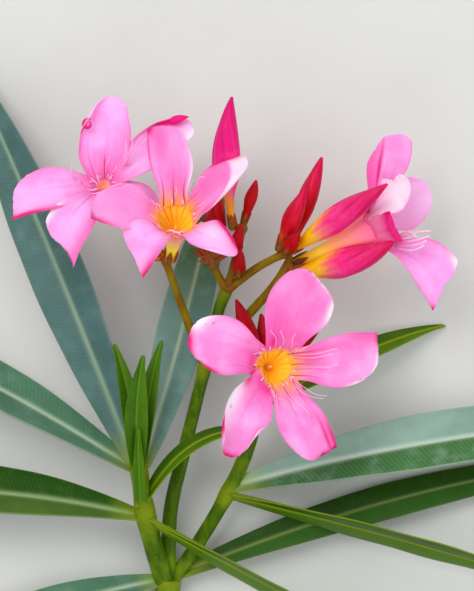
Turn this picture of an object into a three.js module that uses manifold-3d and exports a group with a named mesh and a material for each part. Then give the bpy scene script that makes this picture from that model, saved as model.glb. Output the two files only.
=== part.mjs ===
// A cut flowering branch of oleander, lying on its back on a flat surface.
// Millimetres. X runs across the branch, Y runs from the cut end to the flowers, and Z is
// height above the surface. Each stem, leaf, bud and flower is its own closed solid.

import * as THREE from 'three';
import { mergeVertices } from 'three/addons/utils/BufferGeometryUtils.js';
import Module from 'manifold-3d';

const wasm = await Module();
wasm.setup();

// Driving sizes
const GAP = 0.3; // free space between two neighbouring solids
const BRANCH_MIDDLE = new THREE.Vector3(-4.2, -17.4, 0.24); // moved to the origin at the end
const STEM_SIDES = 10;
const STEM_STEP = 7; // length of stem covered by one row of faces
const LEAF_STEP = 9; // length of leaf covered by one row of faces
const LEAF_EDGE = 0.5; // thickness of a blade at its margin
const LEAF_STALK = 1.2; // half width of a leaf where it joins the stem
const PETAL_THICKNESS = 0.8;
const PETAL_ROWS = 5;
const PETAL_COLUMNS = 6;
const FOLD_START = 0.3; // share of a petal's half width that stays flat
const WIDEST = 0.68; // share of a petal's length at which it is widest
const PETAL_ARCH = 2; // how far a petal's middle stands off the straight line
const PETAL_CUP = 0.05; // rise of a petal's sides, as a share of its width
const MOUTH_RADIUS = 5.2; // open end of a flower's tube
const TUBE_RADIUS = 1.3; // closed end of a flower's tube
const THROAT_DEPTH = 9; // how deep the open part of the tube is
const SEPAL_LENGTH = 5;
const SEPAL_THICKNESS = 0.7;

// Colours, from the plant
const GREEN_STEM = '#6E8A12';
const BROWN_STEM = '#8A6A14';
const LEAF_GREEN = '#3F6E0A';
const LEAF_GREY = '#5E8C6E';
const PETAL_PINK = '#F990D8';
const BUD_RED = '#E0125E';
const DARK_BUD_RED = '#C40018';
const BRACT_BROWN = '#9A4A3A';

const at = (x, y, z) => new THREE.Vector3(x, y, z);
const radians = THREE.MathUtils.degToRad;

// Places where stems meet
const FORK = at(-17, -70.4, 4.6);
const LEFT_NODE = at(-22.4, -54.2, 12.4);
const LEFT_TIP = at(-24.2, -41.4, 16);
const RIGHT_NODE = at(-2.2, -49, 8);
const RIGHT_TIP = at(7.4, -17.4, 13.6);
const FIRST_NODE = at(-7.8, -17.6, 14.4);
const SECOND_NODE = at(-2.6, 1.2, 18);
const LEFT_TOP = at(-17.4, 8.4, 19.4);
const RIGHT_TOP = at(12.6, 7.6, 17.4);
const MIDDLE_TOP = at(1.4, 16.4, 20);
const TUFT_TOP = at(-6, 7.6, 19.6);
const CLUSTER_TOP = at(11.4, 10.2, 19.8);

// Each stem is one tapering limb along a smooth route.
const stems = [
  { name: 'main_stem', route: [at(-17.2, -87, 2.9), at(-17.4, -79, 3), FORK],
    radii: [2.8, 2.7], colour: GREEN_STEM },
  { name: 'left_shoot', route: [at(-17.6, -71.4, 4.6), at(-20.4, -62.4, 8.4), LEFT_NODE, LEFT_TIP],
    radii: [2.6, 1.9], colour: GREEN_STEM },
  { name: 'flower_stalk', route: [FORK, at(-16.4, -53.6, 7), at(-13, -38.6, 10), FIRST_NODE,
    at(-4.4, -3.6, 16.8), SECOND_NODE],
    radii: [1.9, 1.3], colour: GREEN_STEM },
  { name: 'right_shoot', route: [at(-15.6, -70.6, 4.4), at(-9.2, -61, 5.4), RIGHT_NODE,
    at(2.4, -38.6, 10.2), RIGHT_TIP],
    radii: [1.7, 1.8], colour: GREEN_STEM },
  { name: 'left_flower_stalk', route: [FIRST_NODE, at(-13.2, -3.4, 16.2), LEFT_TOP],
    radii: [1.1, 0.9], colour: BROWN_STEM },
  { name: 'right_flower_stalk', route: [FIRST_NODE, at(1.6, -6.2, 15.4), at(8.8, 2, 16.4), RIGHT_TOP],
    radii: [1.3, 1.0], colour: BROWN_STEM },
  { name: 'tuft_stalk', route: [SECOND_NODE, at(-4.6, 5, 19), TUFT_TOP],
    radii: [1.0, 0.9], colour: BROWN_STEM },
  { name: 'middle_bud_stalk', route: [at(-2.2, 2.4, 18.2), at(-0.2, 9, 19), MIDDLE_TOP],
    radii: [1.0, 0.8], colour: BROWN_STEM },
  { name: 'cluster_stalk', route: [SECOND_NODE, at(5.2, 6.9, 19), CLUSTER_TOP],
    radii: [1.1, 0.9], colour: BROWN_STEM },
];

// A leaf runs from its stem, by its middle, to its tip. roll turns the blade about its
// length and fold lifts both margins, in degrees.
const leaves = [
  { name: 'leaf_upper_left', from: at(-25, -42, 15.4), by: at(-45.6, 10, 13), to: at(-69.6, 63.8, 0.8),
    width: 15.5, roll: -24, fold: 12, colour: LEAF_GREY },
  { name: 'leaf_left', from: at(-25, -43, 14.4), by: at(-71.6, -16.4, 12), to: at(-116.6, 1.4, 0.8),
    width: 14, roll: 40, fold: 14, colour: LEAF_GREY },
  { name: 'leaf_inner', from: at(-22.8, -42, 15.6), by: at(-12.4, -3.4, 8), to: at(-2.8, 36, 0.8),
    width: 12, roll: 0, fold: 14, colour: LEAF_GREY },
  { name: 'leaf_lower_left', from: at(-23.6, -54.6, 12), by: at(-73, -48, 12), to: at(-124, -52.4, 0.8),
    width: 15, roll: 38, fold: 16, colour: LEAF_GREEN },
  { name: 'leaf_crossing', from: at(-21.6, -55.4, 13.6), by: at(15.6, -75.4, 13.6), to: at(54.4, -96.4, 5),
    width: 13, roll: 71, fold: 10, colour: LEAF_GREEN },
  { name: 'leaf_short', from: at(-22.6, -50.6, 14.2), by: at(-10.4, -36.4, 17.4), to: at(6.2, -33, 19),
    width: 5, roll: -50, fold: 10, colour: LEAF_GREEN },
  { name: 'leaf_right', from: at(-1.6, -47.6, 9), by: at(53.2, -35.4, 11), to: at(115.6, -29.8, 0.8),
    width: 15, roll: -28, fold: 14, colour: LEAF_GREY },
  { name: 'leaf_lower_right', from: at(-1.6, -49.6, 9.4), by: at(43.2, -60.8, 13.6), to: at(90.6, -75.8, 4.4),
    width: 13, roll: 69, fold: 8, colour: LEAF_GREEN },
  { name: 'leaf_behind', from: at(7.8, -26.4, 12), by: at(31.2, -14.2, 7), to: at(52, -7.4, 0.8),
    width: 8, roll: -50, fold: 8, colour: LEAF_GREEN },
  { name: 'fork_leaf_left', from: at(-18.6, -70.8, 4.6), by: at(-54.2, -80.4, 6.4), to: at(-91.6, -98.6, 0.8),
    width: 11, roll: 30, fold: 12, colour: LEAF_GREEN },
  { name: 'fork_leaf_right', from: at(-14.8, -69.4, 4.4), by: at(42, -50.2, 3.4), to: at(100.6, -39.8, 0.8),
    width: 9, roll: -24, fold: 8, colour: LEAF_GREEN },
  { name: 'young_leaf_left', from: at(-25, -42, 17), by: at(-26.2, -27, 21), to: at(-30, -11.8, 20),
    width: 4.6, roll: 20, fold: 18, colour: LEAF_GREEN },
  { name: 'young_leaf_middle', from: at(-24.2, -42.6, 17.4), by: at(-24.4, -28, 24), to: at(-22.8, -14.6, 24),
    width: 5.6, roll: 0, fold: 22, colour: LEAF_GREEN },
  { name: 'young_leaf_dark', from: at(-23.4, -42, 17), by: at(-21.6, -26, 20), to: at(-18.4, -11, 19),
    width: 5, roll: -30, fold: 18, colour: LEAF_GREEN },
  { name: 'young_leaf_front', from: at(-23.6, -51.8, 15), by: at(-24, -41.6, 20.6), to: at(-24, -32.4, 24),
    width: 2.4, roll: 0, fold: 20, colour: LEAF_GREEN },
];

// A bud runs from its foot to its tip. Its tube is a narrow neck and its body swells above.
const buds = [
  { name: 'tall_bud', from: at(-1, 16.8, 22), by: at(-2.5, 34, 26.6), to: at(-1.2, 48, 30), radius: 3.2,
    neck: 0.42, colour: BUD_RED },
  { name: 'small_bud_upper', from: at(1.6, 17.6, 20.4), to: at(4.7, 28, 24), radius: 1.7,
    neck: 0.2, colour: DARK_BUD_RED },
  { name: 'small_bud_middle', from: at(-0.6, 10.4, 20), to: at(1, 17.2, 24.6), radius: 1.3,
    neck: 0.2, colour: DARK_BUD_RED },
  { name: 'small_bud_lower', from: at(0.4, 5.4, 20.2), to: at(0.8, 11.4, 23.4), radius: 1.3,
    neck: 0.2, colour: DARK_BUD_RED },
  { name: 'hidden_bud', from: at(-6.2, 11.6, 19.6), to: at(-4.4, 25.6, 18.8), radius: 2.6,
    neck: 0.25, colour: DARK_BUD_RED },
  { name: 'cluster_bud_left', from: at(10.4, 11.6, 20.4), to: at(16.7, 26.2, 24), radius: 2.0,
    neck: 0.25, colour: BUD_RED },
  { name: 'cluster_bud_tall', from: at(13.2, 11.6, 17.4), to: at(20.8, 33.9, 18), radius: 2.1,
    neck: 0.3, colour: BUD_RED },
  { name: 'cluster_bud_small', from: at(12.2, 11, 22.4), to: at(15.2, 15.6, 26.4), radius: 1.5,
    neck: 0.15, colour: DARK_BUD_RED },
  { name: 'long_bud_upper', from: at(13.2, 11, 20), to: at(36.2, 26.8, 33), radius: 2.9,
    neck: 0.36, colour: BUD_RED },
  { name: 'long_bud_lower', from: at(14.2, 5.8, 19), by: at(27.6, 8.4, 23.4), to: at(38.3, 13.3, 27), radius: 3.3,
    neck: 0.34, colour: BUD_RED },
  { name: 'rear_bud_left', from: at(5.6, -16.9, 14.4), to: at(-0.2, -1, 19.6), radius: 2.0,
    neck: 0.2, colour: DARK_BUD_RED },
  { name: 'rear_bud_middle', from: at(8, -16.9, 12.6), to: at(5.9, -4.5, 14.4), radius: 1.8,
    neck: 0.2, colour: DARK_BUD_RED },
  { name: 'rear_bud_right', from: at(9.6, -16.9, 14.4), to: at(20.9, -6.6, 19), radius: 1.9,
    neck: 0.2, colour: DARK_BUD_RED },
];

// A flower's tube runs from foot to throat and opens along facing. Each petal runs from the
// mouth to its tip. arch lifts its middle off the straight line, bow carries it to the left
// and roll turns the blade about its length. corners give how far the left and right sides
// reach into a point, slant moves the end further out on the left, and folds turn the
// sides up, in degrees.
const flowers = [
  { name: 'flower_front', colour: PETAL_PINK, foot: at(7.2, -19.6, 15.6), throat: at(9.2, -16.9, 33), facing: at(0.27, 0.08, 0.96),
    petals: [
      { tip: at(19.8, 4, 30), width: 16, bow: 1.8, corners: [0.2, 0.35] },
      { tip: at(34.2, -15.2, 27), width: 13, corners: [0.8, 0] },
      { tip: at(19.4, -39.3, 32), width: 12, bow: -0.4, corners: [0.7, 0] },
      { tip: at(-0.6, -38.9, 38), width: 12.5, bow: -2.4, corners: [-0.5, 0.1], folds: [0, 50] },
      { tip: at(-11.7, -10.2, 38), width: 14, bow: -0.6, corners: [0, 0.2] },
    ] },
  { name: 'flower_middle', colour: PETAL_PINK, foot: at(-16.5, 8.7, 20), throat: at(-14.7, 18.4, 34), facing: at(0.03, 0.5, 0.87),
    petals: [
      { tip: at(-16.9, 40.9, 31), width: 10.5, corners: [0.7, 0] },
      { tip: at(-34, 23.3, 39), width: 13, bow: 0.8, corners: [0.6, -0.2] },
      { tip: at(-24.8, 9.4, 41), width: 11, arch: 4, corners: [0.7, 0.7], slant: 0.2 },
      { tip: at(0.2, 10, 40), width: 9, arch: 4, bow: -1.4, corners: [-0.4, -0.4] },
      { tip: at(2.2, 33.1, 36), width: 10, bow: -0.8, corners: [-0.2, -0.3], folds: [0, 60] },
    ] },
  { name: 'flower_left', colour: PETAL_PINK, foot: at(-18.4, 9.2, 18.2), throat: at(-32.4, 27, 29), facing: at(0.05, 0.45, 0.89),
    petals: [
      { tip: at(-28.4, 47.9, 27), width: 12.5, bow: 1.8, corners: [-0.3, 0], folds: [40, 0] },
      { tip: at(-54, 22.8, 32), width: 12, corners: [0.9, 0.1], folds: [20, 0] },
      { tip: at(-43.1, 12.9, 35), width: 12, arch: 3, corners: [1.4, 0.25] },
      { tip: at(-21.2, 17.6, 25), width: 12, corners: [0.3, 0] },
      { tip: at(-10.7, 41.5, 28), width: 8, corners: [-0.3, 0], folds: [30, 0] },
    ] },
  { name: 'flower_right', colour: PETAL_PINK, foot: at(13.9, 7.6, 15.2), throat: at(33.9, 16.7, 22), facing: at(0.91, 0.38, 0.18),
    petals: [
      { tip: at(37.5, 39.1, 24), width: 11, roll: -70, corners: [0.1, 0.2] },
      { tip: at(38.4, 28.6, 26), width: 10, arch: 3, roll: 60, corners: [0.3, 0] },
      { tip: at(37.1, 15.6, 33), width: 8, arch: 3, corners: [0.5, 0.5] },
      { tip: at(50.8, 2.6, 23), width: 12.5, roll: 65, corners: [0.8, 1], slant: -0.14 },
      { tip: at(47.2, 25.8, 19), width: 14, arch: 3, corners: [0.3, 0] },
    ] },
];

// Closed skin over a row of rings. Every ring is a loop of the same number of points,
// counter-clockwise about the direction in which the rings follow each other. The end rings
// are closed by strips between their opposite points.
function skin(rings) {
  const sides = rings[0].length;
  const corners = rings.flat();
  const faces = [];
  for (let row = 0; row < rings.length - 1; row += 1) {
    for (let side = 0; side < sides; side += 1) {
      const a = row * sides + side;
      const b = row * sides + (side + 1) % sides;
      faces.push(a, b, b + sides, a, b + sides, a + sides);
    }
  }
  const last = (rings.length - 1) * sides;
  for (let near = 0; near < sides / 2 - 1; near += 1) {
    const far = sides - 1 - near;
    faces.push(near, far, near + 1, near + 1, far, far - 1);
    faces.push(last + near, last + near + 1, last + far, last + near + 1, last + far - 1, last + far);
  }
  const geometry = new THREE.BufferGeometry().setFromPoints(corners);
  geometry.setIndex(faces);
  return geometry;
}

// Solid for cutting and joining, from a closed geometry.
function toSolid(geometry) {
  const merged = mergeVertices(geometry, 1e-4);
  return new wasm.Manifold(new wasm.Mesh({
    numProp: 3,
    vertProperties: new Float32Array(merged.attributes.position.array),
    triVerts: new Uint32Array(merged.index.array),
  }));
}

function toGeometry(body) {
  const mesh = body.getMesh();
  const geometry = new THREE.BufferGeometry();
  geometry.setAttribute('position', new THREE.BufferAttribute(mesh.vertProperties, 3));
  geometry.setIndex(new THREE.BufferAttribute(mesh.triVerts, 1));
  geometry.computeVertexNormals();
  return geometry;
}

// Point, heading, left and top directions at a share of a curve. lean is roughly up.
function frameAt(curve, share, lean, roll = 0) {
  const heading = curve.getTangentAt(share);
  const left = lean.clone().cross(heading).normalize();
  const top = heading.clone().cross(left);
  return {
    point: curve.getPointAt(share),
    heading,
    left: left.clone().multiplyScalar(Math.cos(roll)).addScaledVector(top, Math.sin(roll)),
    top: top.clone().multiplyScalar(Math.cos(roll)).addScaledVector(left, -Math.sin(roll)),
  };
}

// Direction that a curve's chord is least aligned with, to lean its frames on.
function leanFor(from, to) {
  const chord = to.clone().sub(from).normalize();
  return Math.abs(chord.z) < 0.8 ? at(0, 0, 1) : at(0, 1, 0);
}

function roundRing(frame, radiusAt, sides) {
  const ring = [];
  for (let side = 0; side < sides; side += 1) {
    const angle = 2 * Math.PI * side / sides;
    const radius = radiusAt(angle);
    ring.push(frame.point.clone()
      .addScaledVector(frame.left, radius * Math.cos(angle))
      .addScaledVector(frame.top, radius * Math.sin(angle)));
  }
  return ring;
}

// Moves the first ring back and the last ring on, by a distance.
function lengthen(rings, curve, distance) {
  for (const point of rings[0]) {
    point.addScaledVector(curve.getTangentAt(0), -distance);
  }
  for (const point of rings[rings.length - 1]) {
    point.addScaledVector(curve.getTangentAt(1), distance);
  }
  return rings;
}

// Round limb along a curve. Its radius depends on the share of its length and the angle, and
// swell makes it larger all round.
function limb(curve, radiusAt, sides, rows, swell = 0) {
  const lean = leanFor(curve.getPointAt(0), curve.getPointAt(1));
  const rings = [];
  for (let row = 0; row <= rows; row += 1) {
    const share = row / rows;
    const frame = frameAt(curve, share, lean);
    rings.push(roundRing(frame, (angle) => radiusAt(share, angle) + swell, sides));
  }
  return toSolid(skin(lengthen(rings, curve, swell)));
}

function stemSolid(stem, swell) {
  const curve = new THREE.CatmullRomCurve3(stem.route);
  const rows = Math.max(3, Math.round(curve.getLength() / STEM_STEP));
  const [foot, tip] = stem.radii;
  return limb(curve, (share) => foot + (tip - foot) * share, STEM_SIDES, rows, swell);
}

// Quadratic curve that passes through its middle point.
function curveBy(from, by, to) {
  const control = by.clone().multiplyScalar(2).addScaledVector(from, -0.5).addScaledVector(to, -0.5);
  return new THREE.QuadraticBezierCurve3(from, control, to);
}

// Half width of a lance-shaped blade, on a short stalk and with a fine tip.
function bladeHalfWidth(share, width) {
  const blade = 0.5 * width * Math.sin(Math.PI * share ** 0.9);
  return blade + LEAF_STALK * (1 - share) ** 6 + 0.25;
}

function leafSolid(leaf, swell) {
  const curve = curveBy(leaf.from, leaf.by, leaf.to);
  const length = curve.getLength();
  const rows = Math.max(6, Math.round(length / LEAF_STEP));
  const fold = radians(leaf.fold);
  const rib = Math.max(1, 0.0115 * length);
  const rings = [];
  for (let row = 0; row <= rows; row += 1) {
    const share = row / rows;
    const frame = frameAt(curve, share, at(0, 0, 1), radians(leaf.roll));
    const half = bladeHalfWidth(share, leaf.width) + swell;
    const thick = rib * (1 - 0.6 * share ** 4) + 2 * swell;
    const edge = LEAF_EDGE + 2 * swell;
    const point = (across, up) => frame.point.clone()
      .addScaledVector(frame.left, across)
      .addScaledVector(frame.top, up);
    const out = half * Math.cos(fold);
    const rise = half * Math.sin(fold);
    rings.push([
      point(out, rise - edge / 2), point(out, rise + edge / 2), point(0, thick / 2),
      point(-out, rise + edge / 2), point(-out, rise - edge / 2), point(0, -thick / 2),
    ]);
  }
  return toSolid(skin(lengthen(rings, curve, swell)));
}

// Radius of a foot that five narrow sepals are pressed against, as ribs that end above it.
function sepalRadius(distance, angle, radius) {
  if (distance > SEPAL_LENGTH) {
    return radius;
  }
  const fade = 1 - 0.5 * distance / SEPAL_LENGTH;
  return radius + SEPAL_THICKNESS * fade * (1 + Math.cos(5 * angle)) / 2;
}

function budSolid(bud, swell) {
  const curve = curveBy(bud.from, bud.by ?? bud.from.clone().lerp(bud.to, 0.5), bud.to);
  const size = curve.getLength();
  const neckRadius = bud.radius * 0.5;
  const radiusAt = (share, angle) => {
    if (share < bud.neck) {
      const swell = 0.5 * (1 - Math.cos(Math.PI * share / bud.neck));
      return sepalRadius(share * size, angle, neckRadius + (bud.radius - neckRadius) * swell);
    }
    const rest = (share - bud.neck) / (1 - bud.neck);
    return sepalRadius(share * size, angle, bud.radius * (1 - rest ** 1.6) + 0.25);
  };
  return limb(curve, radiusAt, 10, Math.max(5, Math.round(size / 3.6)), swell);
}

// Half width of a petal: a narrow claw that spreads in a full curve, and keeps its width to
// the end as far as that side ends in a corner.
function petalHalfWidth(petal, along, across) {
  const corner = across > 0 ? petal.corners[0] : petal.corners[1];
  const spread = Math.sin(0.5 * Math.PI * Math.min(1, along / WIDEST)) ** 1.15;
  const past = Math.max(0, along - WIDEST) / (1 - WIDEST);
  return 0.5 * petal.width * (0.32 + 0.68 * spread) * (1 - 0.22 * (1 - corner) * past ** 2);
}

// Share of a petal's length at which it ends, from its right side to its left side.
function petalReach(petal, across) {
  const corner = across > 0 ? petal.corners[0] : petal.corners[1];
  const side = Math.abs(across);
  return 1 + (petal.slant ?? 0) * across + 0.06 * corner * side - 0.24 * (1 - corner) * side ** 2.4;
}

// Point of a petal's sheet. along runs from the mouth to the tip, and across runs from -1
// on the right side to 1 on the left side.
function petalPoint(petal, curve, facing, along, across) {
  const share = along * petalReach(petal, across);
  const roll = radians(petal.roll ?? 0) * Math.min(1, 1.4 * along);
  const frame = frameAt(curve, Math.min(1, share), facing, roll);
  frame.point.addScaledVector(frame.heading, Math.max(0, share - 1) * curve.getLength());
  const half = petalHalfWidth(petal, along, across);
  const folded = Math.max(0, Math.abs(across) - FOLD_START);
  const [foldLeft, foldRight] = petal.folds ?? [0, 0];
  const bend = radians(across > 0 ? foldLeft : foldRight) * along * folded / (1 - FOLD_START);
  const out = Math.sign(across) * half * (Math.abs(across) - folded + folded * Math.cos(bend));
  const rise = half * folded * Math.sin(bend) + PETAL_CUP * petal.width * along * across ** 2;
  return frame.point.addScaledVector(frame.left, out).addScaledVector(frame.top, rise);
}

function petalSolid(flower, facing, petal, swell) {
  const spoke = petal.tip.clone().sub(flower.throat);
  spoke.addScaledVector(facing, -spoke.dot(facing)).normalize();
  const root = flower.throat.clone().addScaledVector(spoke, MOUTH_RADIUS * 0.8);
  const arched = root.clone().lerp(petal.tip, 0.5)
    .addScaledVector(facing, petal.arch ?? PETAL_ARCH)
    .addScaledVector(facing.clone().cross(spoke), petal.bow ?? 0);
  const curve = curveBy(root, arched, petal.tip);
  const rings = [];
  for (let row = 0; row <= PETAL_ROWS; row += 1) {
    const upper = [];
    const lower = [];
    for (let column = 0; column <= PETAL_COLUMNS; column += 1) {
      const along = row / PETAL_ROWS;
      const across = 2 * column / PETAL_COLUMNS - 1;
      const point = petalPoint(petal, curve, facing, along, across);
      const ahead = petalPoint(petal, curve, facing, along * 0.98 + 0.01, across);
      const behind = petalPoint(petal, curve, facing, along * 0.98, across);
      const aside = petalPoint(petal, curve, facing, along, across * 0.98 + 0.01);
      const opposite = petalPoint(petal, curve, facing, along, across * 0.98);
      const normal = ahead.sub(behind).cross(aside.sub(opposite)).normalize();
      upper.push(point.clone().addScaledVector(normal, PETAL_THICKNESS / 2 + swell));
      lower.push(point.clone().addScaledVector(normal, -PETAL_THICKNESS / 2 - swell));
    }
    rings.push([...upper.reverse(), ...lower]);
  }
  return toSolid(skin(rings));
}

function flowerSolid(flower, swell) {
  const facing = flower.facing.clone().normalize();
  const size = flower.throat.distanceTo(flower.foot);
  const control = flower.throat.clone().addScaledVector(facing, -0.5 * size);
  const tube = new THREE.QuadraticBezierCurve3(flower.foot, control, flower.throat);
  const widen = (share, angle) => sepalRadius(share * size, angle,
    TUBE_RADIUS + (MOUTH_RADIUS - TUBE_RADIUS) * share ** 2.6);
  let body = limb(tube, widen, 10, 6, swell);
  for (const petal of flower.petals) {
    body = body.add(petalSolid(flower, facing, petal, swell));
  }
  if (swell > 0) {
    return body;
  }
  const deep = flower.throat.clone().addScaledVector(facing, -THROAT_DEPTH);
  const above = flower.throat.clone().addScaledVector(facing, 1);
  const hollow = limb(new THREE.LineCurve3(deep, above),
    (share) => 0.4 + (MOUTH_RADIUS - 1.1) * share ** 1.2, 10, 3);
  return body.subtract(hollow);
}

// Small pointed bracts in a tuft at the top of their stalk.
function tuftSolid() {
  const heart = TUFT_TOP.clone();
  let body = limb(new THREE.LineCurve3(heart, heart.clone().add(at(-0.6, 3.4, 1))), () => 1.3, 6, 2);
  const count = 9;
  for (let i = 0; i < count; i += 1) {
    const angle = radians(-20 + 220 * i / (count - 1));
    const tip = heart.clone().add(at(4.6 * Math.cos(angle), 2 + 3.4 * Math.sin(angle), 1.4 * (i % 3)));
    const curve = new THREE.LineCurve3(heart.clone().add(at(0, 1, 0.4)), tip);
    body = body.add(limb(curve, (share) => 0.7 - 0.45 * share, 4, 2));
  }
  return body;
}

const branch = new THREE.Group();

function addMesh(name, body, colour, roughness) {
  const material = new THREE.MeshStandardMaterial({ color: colour, roughness, metalness: 0 });
  const mesh = new THREE.Mesh(toGeometry(body), material);
  mesh.name = name;
  branch.add(mesh);
}

// A piece keeps clear of the ones before it, so their swollen shapes are cut out of it.
const taken = [];

function clearOfTaken(body) {
  return taken.reduce((rest, other) => rest.subtract(other), body);
}

function addAll(pieces, solidOf, roughness) {
  for (const piece of pieces) {
    addMesh(piece.name, clearOfTaken(solidOf(piece, 0)), piece.colour, roughness);
    taken.push(solidOf(piece, GAP));
  }
}

addAll(stems, stemSolid, 0.5);
addAll(leaves, leafSolid, 0.45);
addAll(buds, budSolid, 0.4);
addMesh('bract_tuft', clearOfTaken(tuftSolid()), BRACT_BROWN, 0.6);
addAll(flowers, flowerSolid, 0.5);

branch.position.copy(BRANCH_MIDDLE).negate();

export default branch;
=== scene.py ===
# %% [markdown]
# # A cut branch of flowering oleander
# The branch lies on its back on a pale table and is seen from straight above. Its solids come
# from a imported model, which fixes where every stem, leaf, bud and bloom is. This notebook
# puts a finer living surface in the place of each solid. All lengths are in millimetres
# until the moment a mesh is made, because a plant is easier to think about that way.

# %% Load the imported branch
import math
import random

import bpy
import numpy as np
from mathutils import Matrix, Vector


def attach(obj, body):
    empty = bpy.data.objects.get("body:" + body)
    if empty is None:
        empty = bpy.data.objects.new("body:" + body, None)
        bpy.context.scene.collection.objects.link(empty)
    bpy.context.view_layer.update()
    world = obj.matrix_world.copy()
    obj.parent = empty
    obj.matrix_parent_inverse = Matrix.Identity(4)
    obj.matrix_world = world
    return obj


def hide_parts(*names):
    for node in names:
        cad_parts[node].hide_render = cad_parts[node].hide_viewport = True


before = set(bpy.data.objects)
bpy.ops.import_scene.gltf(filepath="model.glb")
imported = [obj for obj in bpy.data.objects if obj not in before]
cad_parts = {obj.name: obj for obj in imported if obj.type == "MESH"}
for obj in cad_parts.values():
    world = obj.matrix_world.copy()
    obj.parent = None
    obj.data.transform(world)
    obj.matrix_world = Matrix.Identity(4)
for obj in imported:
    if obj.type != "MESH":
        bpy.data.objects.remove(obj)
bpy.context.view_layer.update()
print("nodes to dress:", len(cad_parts))

# %% [markdown]
# ## Colours and nodes
# Plant colours are easiest to judge as the hex values that a screen shows, but the renderer
# counts in linear light. One function turns the first into the second. A second one adds any
# node to a material with its settings and its inputs, and takes a hex value for a colour. So
# a material reads from top to bottom as a list of what happens to the surface.

# %% Colour and node helpers
def colour(hex_value):
    channels = [int(hex_value[i:i + 2], 16) / 255 for i in (1, 3, 5)]
    linear = [c / 12.92 if c <= 0.04045 else ((c + 0.055) / 1.055) ** 2.4 for c in channels]
    return (*linear, 1.0)


def add(tree, kind, inputs=None, **settings):
    node = tree.nodes.new(kind)
    for name, value in settings.items():
        setattr(node, name, value)
    for name, value in (inputs or {}).items():
        if isinstance(value, bpy.types.NodeSocket):
            tree.links.new(value, node.inputs[name])
        else:
            node.inputs[name].default_value = colour(value) if isinstance(value, str) else value
    return node


def new_material(name):
    material = bpy.data.materials.new(name)
    material.use_nodes = True
    material.node_tree.nodes.clear()
    return material, material.node_tree


print("pure leaf green in linear light:", [round(c, 3) for c in colour("#4A7800")])

# %% [markdown]
# ## Steps that every finish uses
# A living surface is never one flat colour. Each finish starts from one tone and lays tints
# over it. A tint shows where its mask is high. The mask is a soft noise of a real size, or
# the name of a number that the mesh carries at each point, such as how far along a petal it
# lies. Numbers on the mesh are chosen for everything that has a place, because they stay put
# wherever the piece is looked at from.
#
# The last step gives a surface its fine relief and its gloss. Plant tissue is mostly water
# in a waxy skin, so its IOR is between 1.40 and 1.45 everywhere on the branch.

# %% Tints, tones and relief
def soft_noise(tree, size_mm, detail=3.0, stretch=(1, 1, 1)):
    place = add(tree, "ShaderNodeTexCoord").outputs["Object"]
    scaled = add(tree, "ShaderNodeMapping", {"Vector": place, "Scale": stretch}).outputs["Vector"]
    return add(tree, "ShaderNodeTexNoise", {"Vector": scaled, "Scale": 1000 / size_mm, "Detail": detail,
                                            "Roughness": 0.55}).outputs["Fac"]


def tint(tree, tone, paint, mask, low=0.0, high=1.0, strength=1.0):
    if isinstance(mask, str):
        mask = add(tree, "ShaderNodeAttribute", attribute_name=mask).outputs["Fac"]
    share = add(tree, "ShaderNodeMapRange", {"Value": mask, "From Min": low, "From Max": high,
                                             "To Max": strength}).outputs["Result"]
    return add(tree, "ShaderNodeMix", {0: share, 6: tone, 7: paint}, data_type="RGBA").outputs[2]


def tones_by(tree, label, stops):
    value = add(tree, "ShaderNodeAttribute", attribute_name=label).outputs["Fac"]
    node = add(tree, "ShaderNodeValToRGB", {"Fac": value})
    while len(node.color_ramp.elements) < len(stops):
        node.color_ramp.elements.new(0.5)
    for element, (place, tone) in zip(node.color_ramp.elements, stops):
        element.position = place
        element.color = colour(tone)
    return node.outputs["Color"]


def finish_material(tree, tone, optics, height=None, depth_mm=0.1, strength=0.6):
    inputs = {"Base Color": tone, **optics}
    if height:
        inputs["Normal"] = add(tree, "ShaderNodeBump", {"Height": height, "Distance": depth_mm / 1000,
                                                        "Strength": strength}).outputs["Normal"]
    shader = add(tree, "ShaderNodeBsdfPrincipled", inputs)
    add(tree, "ShaderNodeOutputMaterial", {"Surface": shader.outputs["BSDF"]})


print("steps ready:", soft_noise.__name__, tint.__name__, tones_by.__name__, finish_material.__name__)

# %% [markdown]
# ## Lines that a plant grows along
# A stem, a leaf's midrib and a petal's middle are all smooth lines. Blender's curve objects
# could hold them, but here each line also has to carry exact frames (which way is forward,
# left and up) so that a blade or a round limb can be laid along it. So a line is a dense row
# of points that is read by its share of the length, and the frames follow from one leaning
# direction.

# %% Lines and frames
UP = np.array([0.0, 0.0, 1.0])
HEADING_STEP = 0.01  # share of a line over which its heading is measured
LINE_POINTS = 201
STRETCH_POINTS = 60


def unit(vectors):
    return vectors / np.maximum(np.linalg.norm(vectors, axis=-1, keepdims=True), 1e-9)


class Line:
    def __init__(self, points):
        self.points = np.asarray(points, float)
        steps = np.linalg.norm(np.diff(self.points, axis=0), axis=1)
        self.marks = np.concatenate([[0.0], np.cumsum(steps)])
        self.length = self.marks[-1]

    def at(self, share):
        distance = np.clip(share, 0, 1) * self.length
        return np.stack([np.interp(distance, self.marks, self.points[:, i]) for i in range(3)], -1)

    def heading(self, share):
        ahead = self.at(np.minimum(share + HEADING_STEP, 1.0))
        behind = self.at(np.maximum(share - HEADING_STEP, 0.0))
        return unit(ahead - behind)


def line_by(start, by, end):
    start, by, end = (np.asarray(p, float) for p in (start, by, end))
    control = 2 * by - 0.5 * start - 0.5 * end
    t = np.linspace(0, 1, LINE_POINTS)[:, None]
    return Line((1 - t) ** 2 * start + 2 * t * (1 - t) * control + t ** 2 * end)


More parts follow.
